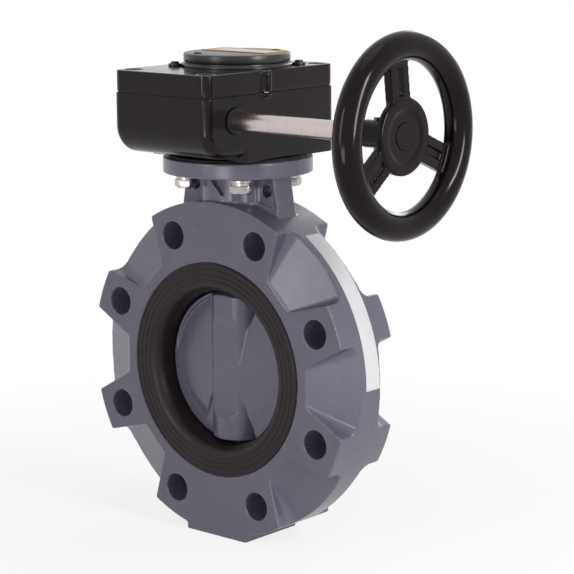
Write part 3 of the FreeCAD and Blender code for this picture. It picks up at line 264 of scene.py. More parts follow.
def work(piece: bpy.types.Object, join: Join, *tools: bpy.types.Object) -> bpy.types.Object:
    """Add, cut or intersect solids, and remove them afterwards.

    Args:
        piece: the solid that is changed.
        join: what is done.
        tools: the solids that it is done with, one after the other.

    Returns:
        The changed solid.
    """
    for tool in tools:
        hold(piece)
        modifier = piece.modifiers.new("join", "BOOLEAN")
        modifier.operation = join.value
        modifier.solver = "EXACT"
        modifier.object = tool
        bpy.ops.object.modifier_apply(modifier=modifier.name)
        bpy.data.objects.remove(tool)
    return piece


def together(name: str, *pieces: bpy.types.Object) -> bpy.types.Object:
    """One object that holds several separate shells."""
    if len(pieces) > 1:
        hold(*pieces)
        bpy.ops.object.join()
    pieces[0].name = name
    return pieces[0]


def bevelled(piece: bpy.types.Object, width: float, steps: int = 3,
             angle: float = 35.0) -> bpy.types.Object:
    """Round the edges that are sharper than an angle; the width is in mm."""
    hold(piece)
    modifier = piece.modifiers.new("edges", "BEVEL")
    modifier.width = mm(width)
    modifier.segments = steps
    modifier.limit_method = "ANGLE"
    modifier.angle_limit = math.radians(angle)
    modifier.miter_outer = "MITER_ARC"
    bpy.ops.object.modifier_apply(modifier=modifier.name)
    return piece


def edges_rounded(piece: bpy.types.Object, radius: float, steps: int,
                  wanted: Callable[[Vector, Vector], bool]) -> bpy.types.Object:
    """Round the edges whose two ends pass a test.

    Args:
        piece: the sharp edged solid.
        radius: rounding in mm.
        steps: segments of the rounding.
        wanted: test of an edge's two ends in metres.

    Returns:
        The rounded solid.
    """
    hold(piece)
    mesh = piece.data
    bpy.context.tool_settings.mesh_select_mode = (False, True, False)
    for part in (*mesh.vertices, *mesh.polygons):
        part.select = False
    for side in mesh.edges:
        side.select = wanted(*(mesh.vertices[index].co for index in side.vertices))
    bpy.ops.object.mode_set(mode="EDIT")
    bpy.ops.mesh.bevel(offset=mm(radius), segments=steps, affect="EDGES")
    bpy.ops.object.mode_set(mode="OBJECT")
    return piece


def upright(a: Vector, b: Vector) -> bool:
    """True for an edge that runs along Z."""
    return abs(a.x - b.x) < 1e-7 and abs(a.y - b.y) < 1e-7


def cast(piece: bpy.types.Object, grain: float, melts: int,
         limit: int = 190000) -> bpy.types.Object:
    """Turn a sharp edged solid into one that looks cast or moulded, with soft edges and fillets.

    Args:
        piece: the closed solid.
        grain: size of the remeshed faces in mm, which also sets the fillets.
        melts: how many times the new surface is smoothed.
        limit: most triangles that the piece may keep.

    Returns:
        The same object.
    """
    hold(piece)
    remesh = piece.modifiers.new("skin", "REMESH")
    remesh.mode = "VOXEL"
    remesh.voxel_size = mm(grain)
    bpy.ops.object.modifier_apply(modifier=remesh.name)
    smooth = piece.modifiers.new("melt", "SMOOTH")
    smooth.factor = 0.5
    smooth.iterations = melts
    bpy.ops.object.modifier_apply(modifier=smooth.name)
    triangles = 2 * len(piece.data.polygons)
    if triangles > limit:
        thin = piece.modifiers.new("thin", "DECIMATE")
        thin.ratio = limit / triangles
        bpy.ops.object.modifier_apply(modifier=thin.name)
    return piece


def copied(piece: bpy.types.Object, name: str, turn: Matrix) -> bpy.types.Object:
    """Copy with its own mesh, moved by a matrix in metres."""
    twin = piece.copy()
    twin.data = piece.data.copy()
    twin.data.transform(turn)
    twin.name = name
    bpy.context.scene.collection.objects.link(twin)
    return twin


def shade(piece: bpy.types.Object, degrees: float = 30.0) -> bpy.types.Object:
    """Smooth shading that keeps the edges sharper than an angle."""
    hold(piece)
    bpy.ops.object.shade_smooth_by_angle(angle=math.radians(degrees))
    return piece


# Materials


def linear(colour: str) -> tuple[float, float, float, float]:
    """sRGB hex colour as linear red, green, blue and alpha."""
    parts = [int(colour[start:start + 2], 16) / 255 for start in (1, 3, 5)]
    light = [part / 12.92 if part <= 0.04045 else ((part + 0.055) / 1.055) ** 2.4
             for part in parts]
    return light[0], light[1], light[2], 1.0


def add(tree: bpy.types.NodeTree, kind: str, settings: dict | None = None,
        links: dict | None = None) -> bpy.types.Node:
    """Add a node with its settings and links.

    Args:
        tree: the node tree.
        kind: node type without its ShaderNode prefix.
        settings: values by socket name or number, or by property name.
        links: source sockets by socket name or number.

    Returns:
        The new node.
    """
    node = tree.nodes.new("ShaderNode" + kind)
    for key, value in (settings or {}).items():
        if isinstance(key, str) and hasattr(node, key):
            setattr(node, key, value)
    for key, value in (settings or {}).items():
        if not (isinstance(key, str) and hasattr(node, key)):
            node.inputs[key].default_value = value
    for key, source in (links or {}).items():
        tree.links.new(source, node.inputs[key])
    return node


def per_mm(size: float) -> float:
    """Noise scale that gives features of about this size in mm."""
    return 1000.0 / size


def new_surface(name: str) -> tuple[bpy.types.Material, bpy.types.NodeTree, bpy.types.Node,
                                    bpy.types.NodeSocket]:
    """Fresh material.

    Args:
        name: material name.

    Returns:
        The material, its tree, its shader and the Object coordinates.
    """
    material = bpy.data.materials.new(name)
    material.use_nodes = True
    tree = material.node_tree
    tree.nodes.clear()
    shader = add(tree, "BsdfPrincipled")
    add(tree, "OutputMaterial", links={"Surface": shader.outputs[0]})
    where = add(tree, "TexCoord").outputs["Object"]
    return material, tree, shader, where


def clouds(tree: bpy.types.NodeTree, where: bpy.types.NodeSocket, size: float,
           detail: float = 4.0, roughness: float = 0.5) -> bpy.types.NodeSocket:
    """Noise value with features of a size in mm."""
    return add(tree, "TexNoise", {"Scale": per_mm(size), "Detail": detail,
                                  "Roughness": roughness}, {"Vector": where}).outputs[0]


def spread(tree: bpy.types.NodeTree, value: bpy.types.NodeSocket, low: float,
           high: float, start: float = 0.3, end: float = 0.7) -> bpy.types.NodeSocket:
    """A noise value stretched between two limits."""
    return add(tree, "MapRange", {"From Min": start, "From Max": end, "To Min": low,
                                  "To Max": high}, {"Value": value}).outputs[0]


def tinted(tree: bpy.types.NodeTree, amount: bpy.types.NodeSocket, first: str,
           second: str) -> bpy.types.NodeSocket:
    """Colour that goes from one hex value to another with an amount."""
    return add(tree, "Mix", {"data_type": "RGBA", 6: linear(first), 7: linear(second)},
               {0: amount}).outputs[2]


@dataclass(frozen=True)
class MouldedPlastic:
    """Injection moulded thermoplastic: satin skin, faint flow clouds and a painted highlight on
    convex edges.
    """

    name: str
    colour: str
    cloud: str
    # Colour of the painted highlight that convex edges get.
    edge_highlight: str
    roughness: float = 0.27
    grain: float = 1.6
    relief: float = 0.006

    def material(self) -> bpy.types.Material:
        """Build the material.

        Returns:
            The finished material.
        """
        material, tree, shader, where = new_surface(self.name)
        flow = clouds(tree, where, 38.0, 3.0)
        body = tinted(tree, spread(tree, flow, 0.0, 1.0), self.colour, self.cloud)
        # Convex edges, found by Pointiness, are mixed towards a lighter colour: a painted highlight
        # along every edge.
        edge = add(tree, "NewGeometry").outputs["Pointiness"]
        edge_highlight_share = spread(tree, edge, 0.0, 0.75, 0.53, 0.62)
        mixed = add(tree, "Mix", {"data_type": "RGBA", 7: linear(self.edge_highlight)},
                    {0: edge_highlight_share, 6: body}).outputs[2]
        tree.links.new(mixed, shader.inputs["Base Color"])
        smudge = clouds(tree, where, 14.0, 5.0, 0.6)
        tree.links.new(spread(tree, smudge, self.roughness - 0.03, self.roughness + 0.04),
                       shader.inputs["Roughness"])
        # The spark eroded grain of the mould is 0.3 mm; it is drawn coarser so that it shows.
        skin = clouds(tree, where, self.grain, 2.0)
        bump = add(tree, "Bump", {"Strength": 0.35, "Distance": mm(self.relief)},
                   {"Height": skin})
        tree.links.new(bump.outputs[0], shader.inputs["Normal"])
        shader.inputs["IOR"].default_value = 1.5
        return material


@dataclass(frozen=True)
class MouldedRubber:
    """Compression moulded rubber: near black with a satin skin and a slight warm bloom."""

    name: str
    colour: str = "#1C1215"
    bloom: str = "#2C1F22"
    roughness: float = 0.38

    def material(self) -> bpy.types.Material:
        """Build the material.

        Returns:
            The finished material.
        """
        material, tree, shader, where = new_surface(self.name)
        dust = clouds(tree, where, 9.0, 6.0, 0.65)
        tree.links.new(tinted(tree, spread(tree, dust, 0.0, 0.5, 0.4, 0.8), self.colour,
                              self.bloom), shader.inputs["Base Color"])
        tree.links.new(spread(tree, clouds(tree, where, 5.0), self.roughness - 0.06,
                              self.roughness + 0.1), shader.inputs["Roughness"])
        skin = clouds(tree, where, 1.1, 3.0)
        bump = add(tree, "Bump", {"Strength": 0.3, "Distance": mm(0.03)}, {"Height": skin})
        tree.links.new(bump.outputs[0], shader.inputs["Normal"])
        shader.inputs["IOR"].default_value = 1.34
        return material


@dataclass(frozen=True)
class StovedEnamel:
    """Sprayed and stoved enamel on a casting: deep gloss with a faint orange peel."""

    name: str
    colour: str = "#120709"
    dust: str = "#1E1013"
    roughness: float = 0.13
    peel: float = 3.0
    relief: float = 0.01
    ior: float = 1.3

    def material(self) -> bpy.types.Material:
        """Build the material.

        Returns:
            The finished material.
        """
        material, tree, shader, where = new_surface(self.name)
        haze = clouds(tree, where, 24.0, 5.0, 0.6)
        tree.links.new(tinted(tree, spread(tree, haze, 0.0, 0.35), self.colour, self.dust),
                       shader.inputs["Base Color"])
        tree.links.new(spread(tree, clouds(tree, where, 11.0), self.roughness - 0.04,
                              self.roughness + 0.06), shader.inputs["Roughness"])
        skin = clouds(tree, where, self.peel, 1.5)
        bump = add(tree, "Bump", {"Strength": 0.25, "Distance": mm(self.relief)},
                   {"Height": skin})
        tree.links.new(bump.outputs[0], shader.inputs["Normal"])
        shader.inputs["IOR"].default_value = self.ior
        return material


class Lay(Enum):
    """Direction in which a metal surface was worked, as scales of its marks in mm."""

    TURNED_X = (0.6, 40.0, 40.0)
    ROLLED = (6.0, 6.0, 6.0)


@dataclass(frozen=True)
class WorkedMetal:
    """Bare metal with tool marks: streaks of tone and roughness along the working direction."""

    name: str
    colour: str
    mark: str
    roughness: float
    lay: Lay = Lay.ROLLED
    relief: float = 0.01

    def material(self) -> bpy.types.Material:
        """Build the material.

        Returns:
            The finished material.
        """
        material, tree, shader, where = new_surface(self.name)
        scale = tuple(1000.0 / size for size in self.lay.value)
        along = add(tree, "Mapping", {"Scale": scale}, {"Vector": where}).outputs[0]
        streak = add(tree, "TexNoise", {"Scale": 1.0, "Detail": 4.0}, {"Vector": along}).outputs[0]
        tree.links.new(tinted(tree, spread(tree, streak, 0.0, 1.0), self.colour, self.mark),
                       shader.inputs["Base Color"])
        tree.links.new(spread(tree, streak, self.roughness - 0.03, self.roughness + 0.04),
                       shader.inputs["Roughness"])
        bump = add(tree, "Bump", {"Strength": 0.1, "Distance": mm(self.relief)},
                   {"Height": streak})
        tree.links.new(bump.outputs[0], shader.inputs["Normal"])
        shader.inputs["Metallic"].default_value = 1.0
        return material


@dataclass(frozen=True)
class PrintedFilm:
    """Smooth coated film or paint: even colour with slight waves and fingerprints in the gloss."""

    name: str
    colour: str
    tone: str
    roughness: float = 0.35

    def material(self) -> bpy.types.Material:
        """Build the material.

        Returns:
            The finished material.
        """
        material, tree, shader, where = new_surface(self.name)
        wave = clouds(tree, where, 22.0, 3.0)
        tree.links.new(tinted(tree, spread(tree, wave, 0.0, 1.0), self.colour, self.tone),
                       shader.inputs["Base Color"])
        tree.links.new(spread(tree, clouds(tree, where, 6.0), self.roughness - 0.05,
                              self.roughness + 0.08), shader.inputs["Roughness"])
        bump = add(tree, "Bump", {"Strength": 0.2, "Distance": mm(0.03)}, {"Height": wave})
        tree.links.new(bump.outputs[0], shader.inputs["Normal"])
        return material


# The fourth colour of each moulded plastic is the painted highlight on its convex edges.
BODY_PVC = MouldedPlastic("grey_pvc_body", "#595664", "#5F5C6C", "#83808F")
DISC_PVC = MouldedPlastic("grey_pvc_disc", "#595664", "#5F5C6C", "#807D8C", 0.26)
LINER = MouldedRubber("epdm_liner")
SEALS = MouldedRubber("nitrile_seals", "#1B1718", "#2C2728", 0.4)
BOX_ENAMEL = StovedEnamel("black_enamel_box")
WHEEL_ENAMEL = StovedEnamel("black_enamel_wheel", "#0D0506", "#150A0C", 0.14, 4.0, ior=1.25)
STAINLESS_SHAFT = WorkedMetal("turned_stainless", "#CABFBC", "#C1B6B3", 0.24, Lay.TURNED_X)
STAINLESS = WorkedMetal("stainless_fasteners", "#B5AFAD", "#A9A3A1", 0.26)
BLACK_OXIDE = WorkedMetal("blackened_steel", "#2A2829", "#3A3839", 0.38)
SPRING = WorkedMetal("phosphated_spring_steel", "#4A4846", "#5A5856", 0.4)
IRON = WorkedMetal("cast_iron_gear", "#6A6765", "#7C7976", 0.45)
WORM_STEEL = WorkedMetal("hobbed_worm_steel", "#8E8A86", "#A19C97", 0.3, Lay.TURNED_X)
BRONZE = WorkedMetal("sintered_bronze", "#A87C4A", "#8E683C", 0.4)
BEARING = MouldedPlastic("acetal_bushes", "#D9D4C8", "#E2DED2", "#ECE8DE", 0.4)
FIBRE = MouldedRubber("fibre_gasket", "#2B2A28", "#403E3B", 0.7)
BLACK_PLASTIC = MouldedPlastic("black_nylon", "#1C1A1B", "#232122", "#3A3839", 0.32, 1.4)
PLATE_WHITE = PrintedFilm("white_plate_lacquer", "#E9E6E2", "#DEDAD6", 0.32)
PLATE_YELLOW = PrintedFilm("yellow_plate_lacquer", "#C9961E", "#B98616", 0.35)
LABEL = PrintedFilm("white_label_film", "#D0CFD2", "#C8C7CA", 0.4)


Finish = MouldedPlastic | MouldedRubber | StovedEnamel | WorkedMetal | PrintedFilm


class Stock:
    """Materials that are made once and shared."""

    def __init__(self) -> None:
        """Start with none made."""
        self.made: dict[str, bpy.types.Material] = {}

    def get(self, finish: Finish) -> bpy.types.Material:
        """Material of a finish, made on its first use.

        Args:
            finish: one of the finish dataclasses above.

        Returns:
            The shared material.
        """
        if finish.name not in self.made:
            self.made[finish.name] = finish.material()
        return self.made[finish.name]


STOCK = Stock()


def dress(piece: bpy.types.Object, *finishes: Finish) -> bpy.types.Object:
    """Give a piece its finishes, one material slot each."""
    piece.data.materials.clear()
    for finish in finishes:
        piece.data.materials.append(STOCK.get(finish))
    return piece


def hand_over(piece: bpy.types.Object, body: str, slot: str, nodes: Sequence[str],
              *finishes: Finish) -> bpy.types.Object:
    """Dress a finished piece and put it on its body in place of CAD nodes.

    Args:
        piece: the finished object.
        body: the CAD body that it rides on.
        slot: a material slot's name; not used.
        nodes: the CAD nodes that it stands for.
        finishes: one finish for each of its material slots.

    Returns:
        The same object.
    """
    dress(piece, *finishes)
    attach(piece, body)
    if nodes:
        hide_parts(*nodes)
    LOG.info("%s on %s: %d faces, for %s", piece.name, body, len(piece.data.polygons),
             ", ".join(nodes) or "detail")
    return piece


# Sub-assemblies


@dataclass
class ValveBody:
    """Lugged PVC body with its neck, wing and mounting flange. Sizes in mm."""

    radius: float = 114.0
    half: float = 26.0
    bore: float = 59.6
    recess: float = 72.9
    recess_depth: float = 4.0
    lug_circle: float = 95.25
    lug_hole: float = 9.5
    scoop_inner: float = 80.4
    scoop_slope: float = 0.476
    scoop_half: float = 12.6
    scoop_flare: float = 0.574
    scoop_round: float = 8.0
    foot: tuple[float, float] = (27.0, 115.3)
    neck: float = 24.5
    flange: float = 50.0
    flange_span: tuple[float, float] = (132.5, 143.0)
    wing: tuple[float, float, float] = (39.2, 45.4, 8.8)
    wing_dish: float = 0.9
    wing_frame: float = 2.7
    core_depth: float = 5.6
    scoop_angles: tuple[float, ...] = (-45, 0, 45, 135, 180, 225)

    def scoop_section(self, distance: float, corner: float) -> list[Point]:
        """Outline of a scoop at a distance from the bore axis, with round floor corners."""
        reach = distance - self.scoop_inner
        half = self.scoop_half + self.scoop_flare * reach
        top = -self.half - 2
        bottom = -self.half + 0.5 + self.scoop_slope * reach
        arc = [around(corner, 15 * step) for step in range(7)]
        left = [(distance, bottom - corner + b, -half + corner - a) for a, b in arc]
        right = [(distance, bottom - corner + b, half - corner + a) for a, b in reversed(arc)]
        return [(distance, top, -half), *left, *right, (distance, top, half)]

    def scoops(self) -> bpy.types.Object:
        """The twelve scoops between the lugs, modelled once and copied."""
        first = lofted("scoop", self.scoop_section(self.scoop_inner, 0.4),
                       self.scoop_section(self.radius + 8, self.scoop_round))
        copies = []
        for angle in self.scoop_angles:
            for flip in (0, 180):
                turn = (Matrix.Rotation(math.radians(angle), 4, "Y")
                        @ Matrix.Rotation(math.radians(flip), 4, "X"))
                copies.append(copied(first, "scoop_copy", turn))
        bpy.data.objects.remove(first)
        return together("scoops", *copies)

    def rim(self) -> bpy.types.Object:
        """Round body with its foot and scoops."""
        blank = rod("rim", self.radius, (0, -self.half, 0), self.half * 2, Axis.Y, 256)
        foot = slab("foot", (-self.foot[0], -self.half, -self.foot[1]),
                    (self.foot[0], self.half, -99))
        work(blank, Join.ADD, foot)
        return work(blank, Join.CUT, self.scoops())

    def pillar(self) -> bpy.types.Object:
        """Neck and wing under the flange, with recesses and spanner room."""
        top, low, half = self.wing
        under = self.flange_span[0]
        wing = pushed("wing", [(-low, -half, 95), (low, -half, 95), (top, -half, under + 1),
                               (-top, -half, under + 1)], (0, half * 2, 0))
        bevelled(wing, 1.2, 4)
        work(wing, Join.ADD, rod("neck", self.neck, (0, 0, 95), under + 1 - 95))
        dish = self.wing_dish
        for side in (1, -1):
            corners = [(side * 25.2, 114.0), (side * 42.0, 110.2),
                       (side * (top - self.wing_frame), under - 1), (side * 25.2, under - 1)]
            for start in (-half - 1, half - dish):
                work(wing, Join.CUT, pushed("recess", [(x, start, z) for x, z in corners],
                                            (0, dish + 1, 0)))
        core = [(-4.7, 131.0), (7.3, 117.0), (7.3, 131.0)]
        work(wing, Join.CUT, pushed("core", [(x, -26.0, z) for x, z in core],
                                   (0, self.core_depth, 0)))
        for angle in QUARTERS:
            x, y = around(BOLT_CIRCLE, angle)
            work(wing, Join.CUT, rod("scallop", 12.0, (x, y, 110), under - 1.4 - 110))
        return wing

    def build(self) -> None:
        """Model and hand over the body."""
        body = self.rim()
        low, high = self.flange_span
        flange = rod("flange", self.flange, (0, 0, low), high - low, steps=192)
        for angle in QUARTERS:
            x, y = around(BOLT_CIRCLE, angle)
            work(flange, Join.ADD, rod("pad", 8.6, (x, y, low - 1.4), 2.4, steps=64))
        work(body, Join.ADD, self.pillar(), flange)
        span = self.half * 2 + 2
        front = -self.half - 1
        holes = [rod("bore", self.bore, (0, front, 0), span, Axis.Y, 192),
                 rod("recess_front", self.recess, (0, front, 0), self.recess_depth + 1,
                     Axis.Y, 192),
                 rod("recess_rear", self.recess, (0, self.half - self.recess_depth, 0), 5,
                     Axis.Y, 192)]
        for number in range(8):
            x, z = around(self.lug_circle, 22.5 + 45 * number)
            holes.append(rod("lug", self.lug_hole, (x, front, z), span, Axis.Y, 64))
        for angle in QUARTERS:
            x, y = around(BOLT_CIRCLE, angle)
            holes.append(rod("bolt_hole", 4.5, (x, y, low - 5), 20, steps=32))
        for side in (-1, 1):
            holes.append(rod("wing_hole", 4.0, (side * 32, -17, 122.2), 34, Axis.Y, 48))
        holes.append(rod("stem_hole", 12.0, (0, 0, 50), high + 1 - 50))
        holes.append(rod("foot_hole", 9.0, (0, 0, -98), 48))
        holes.append(rod("clip_room", 14.5, (0, 0, high - 5), 6))
        work(body, Join.CUT, *holes)
        body.name = "lug_body"
        cast(body, 0.8, 2)
        shade(body, 40)
        hand_over(body, "valve", "body_pvc", ["valve_body"], BODY_PVC)


@dataclass
class Passage:
    """Seat liner and disc. Sizes in mm."""

    seat: float = 52.56
    face: float = 26.5
    lip: float = 72.8
    disc: float = 52.5
    disc_half: float = 10.3
    crown: float = 15.2
    fall: float = 0.097
    lean: float = 0.15
    ridge: float = 2.6
    hub: float = 18.5
    flat: float = 14.6
    panel: float = 16.9
    pockets: tuple[float, float] = (14.0, 6.3)

    def liner(self) -> bpy.types.Object:
        """Rubber sleeve with a rounded lip, a face flange and four sealing ribs on each side."""
        half = [(self.seat, 0.0), (self.seat, 15.0), (self.seat + 0.35, 18.0),
                (self.seat + 1.2, 21.0), (self.seat + 2.6, 23.6), (self.seat + 4.2, 25.4),
                (self.seat + 5.6, 26.2), (self.seat + 6.6, self.face)]
        for number in range(4):
            start = 60.0 + 3.6 * number
            half += [(start, self.face), (start + 0.25, self.face + 0.36),
                     (start + 0.7, self.face + 0.5), (start + 1.15, self.face + 0.36),
                     (start + 1.4, self.face)]
        half += [(self.lip - 0.4, self.face), (self.lip, self.face - 0.4), (self.lip, 22.0),
                 (59.55, 22.0)]
        profile = half + [(radius, -along) for radius, along in reversed(half[1:])]
        piece = turned("seat_ring", profile, axis=Axis.Y, steps=192)
        work(piece, Join.CUT, rod("stem_way", 9.06, (0, 0, 40), 40, steps=64),
             rod("foot_way", 6.46, (0, 0, -80), 40, steps=64))
        return shade(piece, 35)

    def facet_tool(self, face: int, leaning: bool) -> bpy.types.Object:
        """Solid that planes the lower or the upper two facets of one face."""
        side, far = 56.0, face * 34.0
        fallen = face * (self.crown - self.fall * side)
        corners = [(0, face * self.crown), (side, fallen), (side, far), (-side, far),
                   (-side, fallen)]
        way = (0, -face * self.lean * side, side) if leaning else (0, 0, -60.0)
        return pushed("facets", [(x, y, self.ridge) for x, y in corners], way)

    def hub_bar(self) -> bpy.types.Object:
        """Hub with flats, slants, upper panels and a round boss on each side."""
        bar = rod("hub", self.hub, (0, 0, -self.disc - 1), 2 * self.disc + 2, steps=128)
        for face in (1, -1):
            corners = [(19.5, -36.2), (self.flat, -29.3), (self.flat, 28.1), (self.panel, 35.0),
                       (self.panel, 54.0), (19.5, 54.0)]
            work(bar, Join.CUT, pushed("flat", [(-20, face * y, z) for y, z in corners],
                                       (40, 0, 0)))
        reach = self.flat + 0.3
        return work(bar, Join.ADD, rod("boss", 10.5, (0, -reach, 0), reach * 2, Axis.Y))

    def vane(self) -> bpy.types.Object:
        """Disc with facets that meet in a ridge, a raised rim and pockets beside the hub."""
        half, crown, out = self.disc_half, self.crown, self.disc + 2
        inner = self.flat - 0.5
        profile = [(0, -inner), (16.0, -inner), (37.0, 2.5 - crown), (43.0, -half - 0.7),
                   (out, -half), (out, half), (43.0, half + 0.7), (37.0, crown - 2.5),
                   (16.0, inner), (0, inner)]
        piece = turned("vane", profile, axis=Axis.Y, steps=160)
        for face in (1, -1):
            work(piece, Join.CUT, self.facet_tool(face, False), self.facet_tool(face, True))
        raised = turned("raised_rim", [(49.5, -half), (53.4, -half), (53.4, half), (49.5, half)],
                        axis=Axis.Y, steps=144)
        work(piece, Join.ADD, raised)
        for side, level, face in ((a, b, c) for a in (1, -1) for b in (1, -1) for c in (1, -1)):
            corners = [(side * 8.0, level * 8.0), (side * 15.2, level * 23.0),
                       (side * 21.4, level * 41.5), (side * 27.0, level * out),
                       (side * 8.0, level * out)]
            depth = self.pockets[0] if side * face < 0 else self.pockets[1]
            work(piece, Join.CUT, pushed("pocket", [(x, face * 17.0, z) for x, z in corners],
                                         (0, -face * depth, 0)))
        work(piece, Join.ADD, self.hub_bar())
        bpy.ops.object.select_all(action="DESELECT")
        bpy.ops.mesh.primitive_uv_sphere_add(segments=192, ring_count=128, radius=mm(self.disc))
        work(piece, Join.KEEP, bpy.context.object)
        work(piece, Join.CUT, slab("square", (-6.35, -6.35, -41), (6.35, 6.35, 41)),
             rod("journal_top", 9.05, (0, 0, 40), 30), rod("journal_foot", 6.45, (0, 0, -70), 30))
        cast(piece, 0.55, 2)
        return shade(piece, 40)

    def build(self) -> None:
        """Model and hand over liner and disc."""
        hand_over(self.liner(), "valve", "liner_rubber", ["seat_liner"], LINER)
        hand_over(self.vane(), "disc_drive", "disc_pvc", ["disc"], DISC_PVC)


@dataclass
class Fasteners:
    """Screws, bolts and washers, each modelled once and copied. Sizes in mm."""

    head_level: float = 122.0

    def hex_bolt(self) -> bpy.types.Object:
        """Hexagon bolt with a chamfered, dished head that points down."""
        head = rod("hex_head", 7.5, (0, 0, 0), 5.3, steps=6)
        cone = rod("chamfer", 6.2, (0, 0, 0), 5.3, steps=64, tip=12.0)
        work(head, Join.KEEP, cone)
        work(head, Join.CUT, rod("dish", 5.0, (0, 0, -0.1), 0.5, steps=48, tip=4.2))
        bevelled(head, 0.2, 2)
        shank = rod("shank", 4.0, (0, 0, 5.2), 25.9, steps=32)
        return together("hex_bolt", head, shank)

    def washer(self, radius: float, hole: float, thick: float) -> bpy.types.Object:
        """Flat ring with its edges eased."""
        ease = 0.25
        profile = [(hole, 0), (radius - ease, 0), (radius, ease), (radius, thick - ease),
                   (radius - ease, thick), (hole, thick)]
        return turned("washer", profile, steps=64)

    def split_washer(self) -> bpy.types.Object:
        """Spring ring with a slanted slit."""
        ring = self.washer(6.4, 4.2, 2.2)
        slit = pushed("slit", [(-1.1, 2, -0.5), (-0.3, 2, -0.5), (1.1, 2, 2.7), (0.3, 2, 2.7)],
                      (0, 6, 0))
        return work(ring, Join.CUT, slit)

    def socket_screw(self, head: float, height: float, shank: float,
                     length: float) -> bpy.types.Object:
        """Cap screw with an eased head and a hexagon socket; the head's seat is at zero."""
        ease = min(0.5, height * 0.18)
        profile = [(0, 0), (head, 0), (head, height - ease),
                   (head - ease * 0.3, height - ease * 0.3), (head - ease, height), (0, height)]
        piece = turned("cap_head", profile, steps=64)
        work(piece, Join.CUT, rod("socket", head * 0.55, (0, 0, height * 0.4), height, steps=6))
        return together("socket_screw", piece,
                        rod("shank", shank, (0, 0, -length), length - 0.01, steps=24))

    def scatter(self, name: str, first: bpy.types.Object,
                spots: Sequence[Point]) -> bpy.types.Object:
        """Copy one fastener to each spot, with a different turn on each.

        Args:
            name: name of the joined piece.
            first: the modelled fastener, which is removed.
            spots: places in mm.

        Returns:
            One object with a shell for each copy.
        """
        copies = []
        for number, spot in enumerate(spots):
            turn = Matrix.Translation(place(spot)) @ Matrix.Rotation(
                math.radians(17 + 23 * number), 4, "Z")
            copies.append(copied(first, "%s_%d" % (name, number), turn))
        bpy.data.objects.remove(first)
        return shade(together(name, *copies), 30)

    def build(self) -> None:
        """Model and hand over all the fasteners that show."""
        corners = [around(BOLT_CIRCLE, angle) for angle in QUARTERS]
        level = self.head_level
        hand_over(self.scatter("hex_bolts", self.hex_bolt(), [(x, y, level) for x, y in corners]),
                  "valve", "stainless", ["flange_bolts"], STAINLESS)
        hand_over(self.scatter("spring_rings", self.split_washer(),
                               [(x, y, level + 5.3) for x, y in corners]),
                  "valve", "stainless", ["lock_washers"], STAINLESS)
        hand_over(self.scatter("plain_rings", self.washer(7.6, 4.3, 1.6),
                               [(x, y, level + 7.5) for x, y in corners]),
                  "valve", "stainless", ["flat_washers"], STAINLESS)
        lids = [(x, y, 197.0) for x, y in LID_SCREWS]
        hand_over(self.scatter("lid_screws", self.socket_screw(5.0, 5.0, 3.0, 20), lids),
                  "valve", "black_oxide", ["cover_screws"], BLACK_OXIDE)
        ears = [(*around(EAR_CIRCLE, angle), 204.2) for angle in EAR_ANGLES]
        hand_over(self.scatter("ear_screws", self.socket_screw(2.75, 1.3, 1.55, 6.6), ears),
                  "valve", "black_oxide", ["base_screws"], BLACK_OXIDE)
        caps = [(*around(DIAL_CIRCLE, angle), 209.9) for angle in DIAL_ANGLES]
        hand_over(self.scatter("dial_screws", self.socket_screw(2.8, 2.2, 1.45, 6.0), caps),
                  "disc_drive", "black_oxide", ["cap_screws"], BLACK_OXIDE)


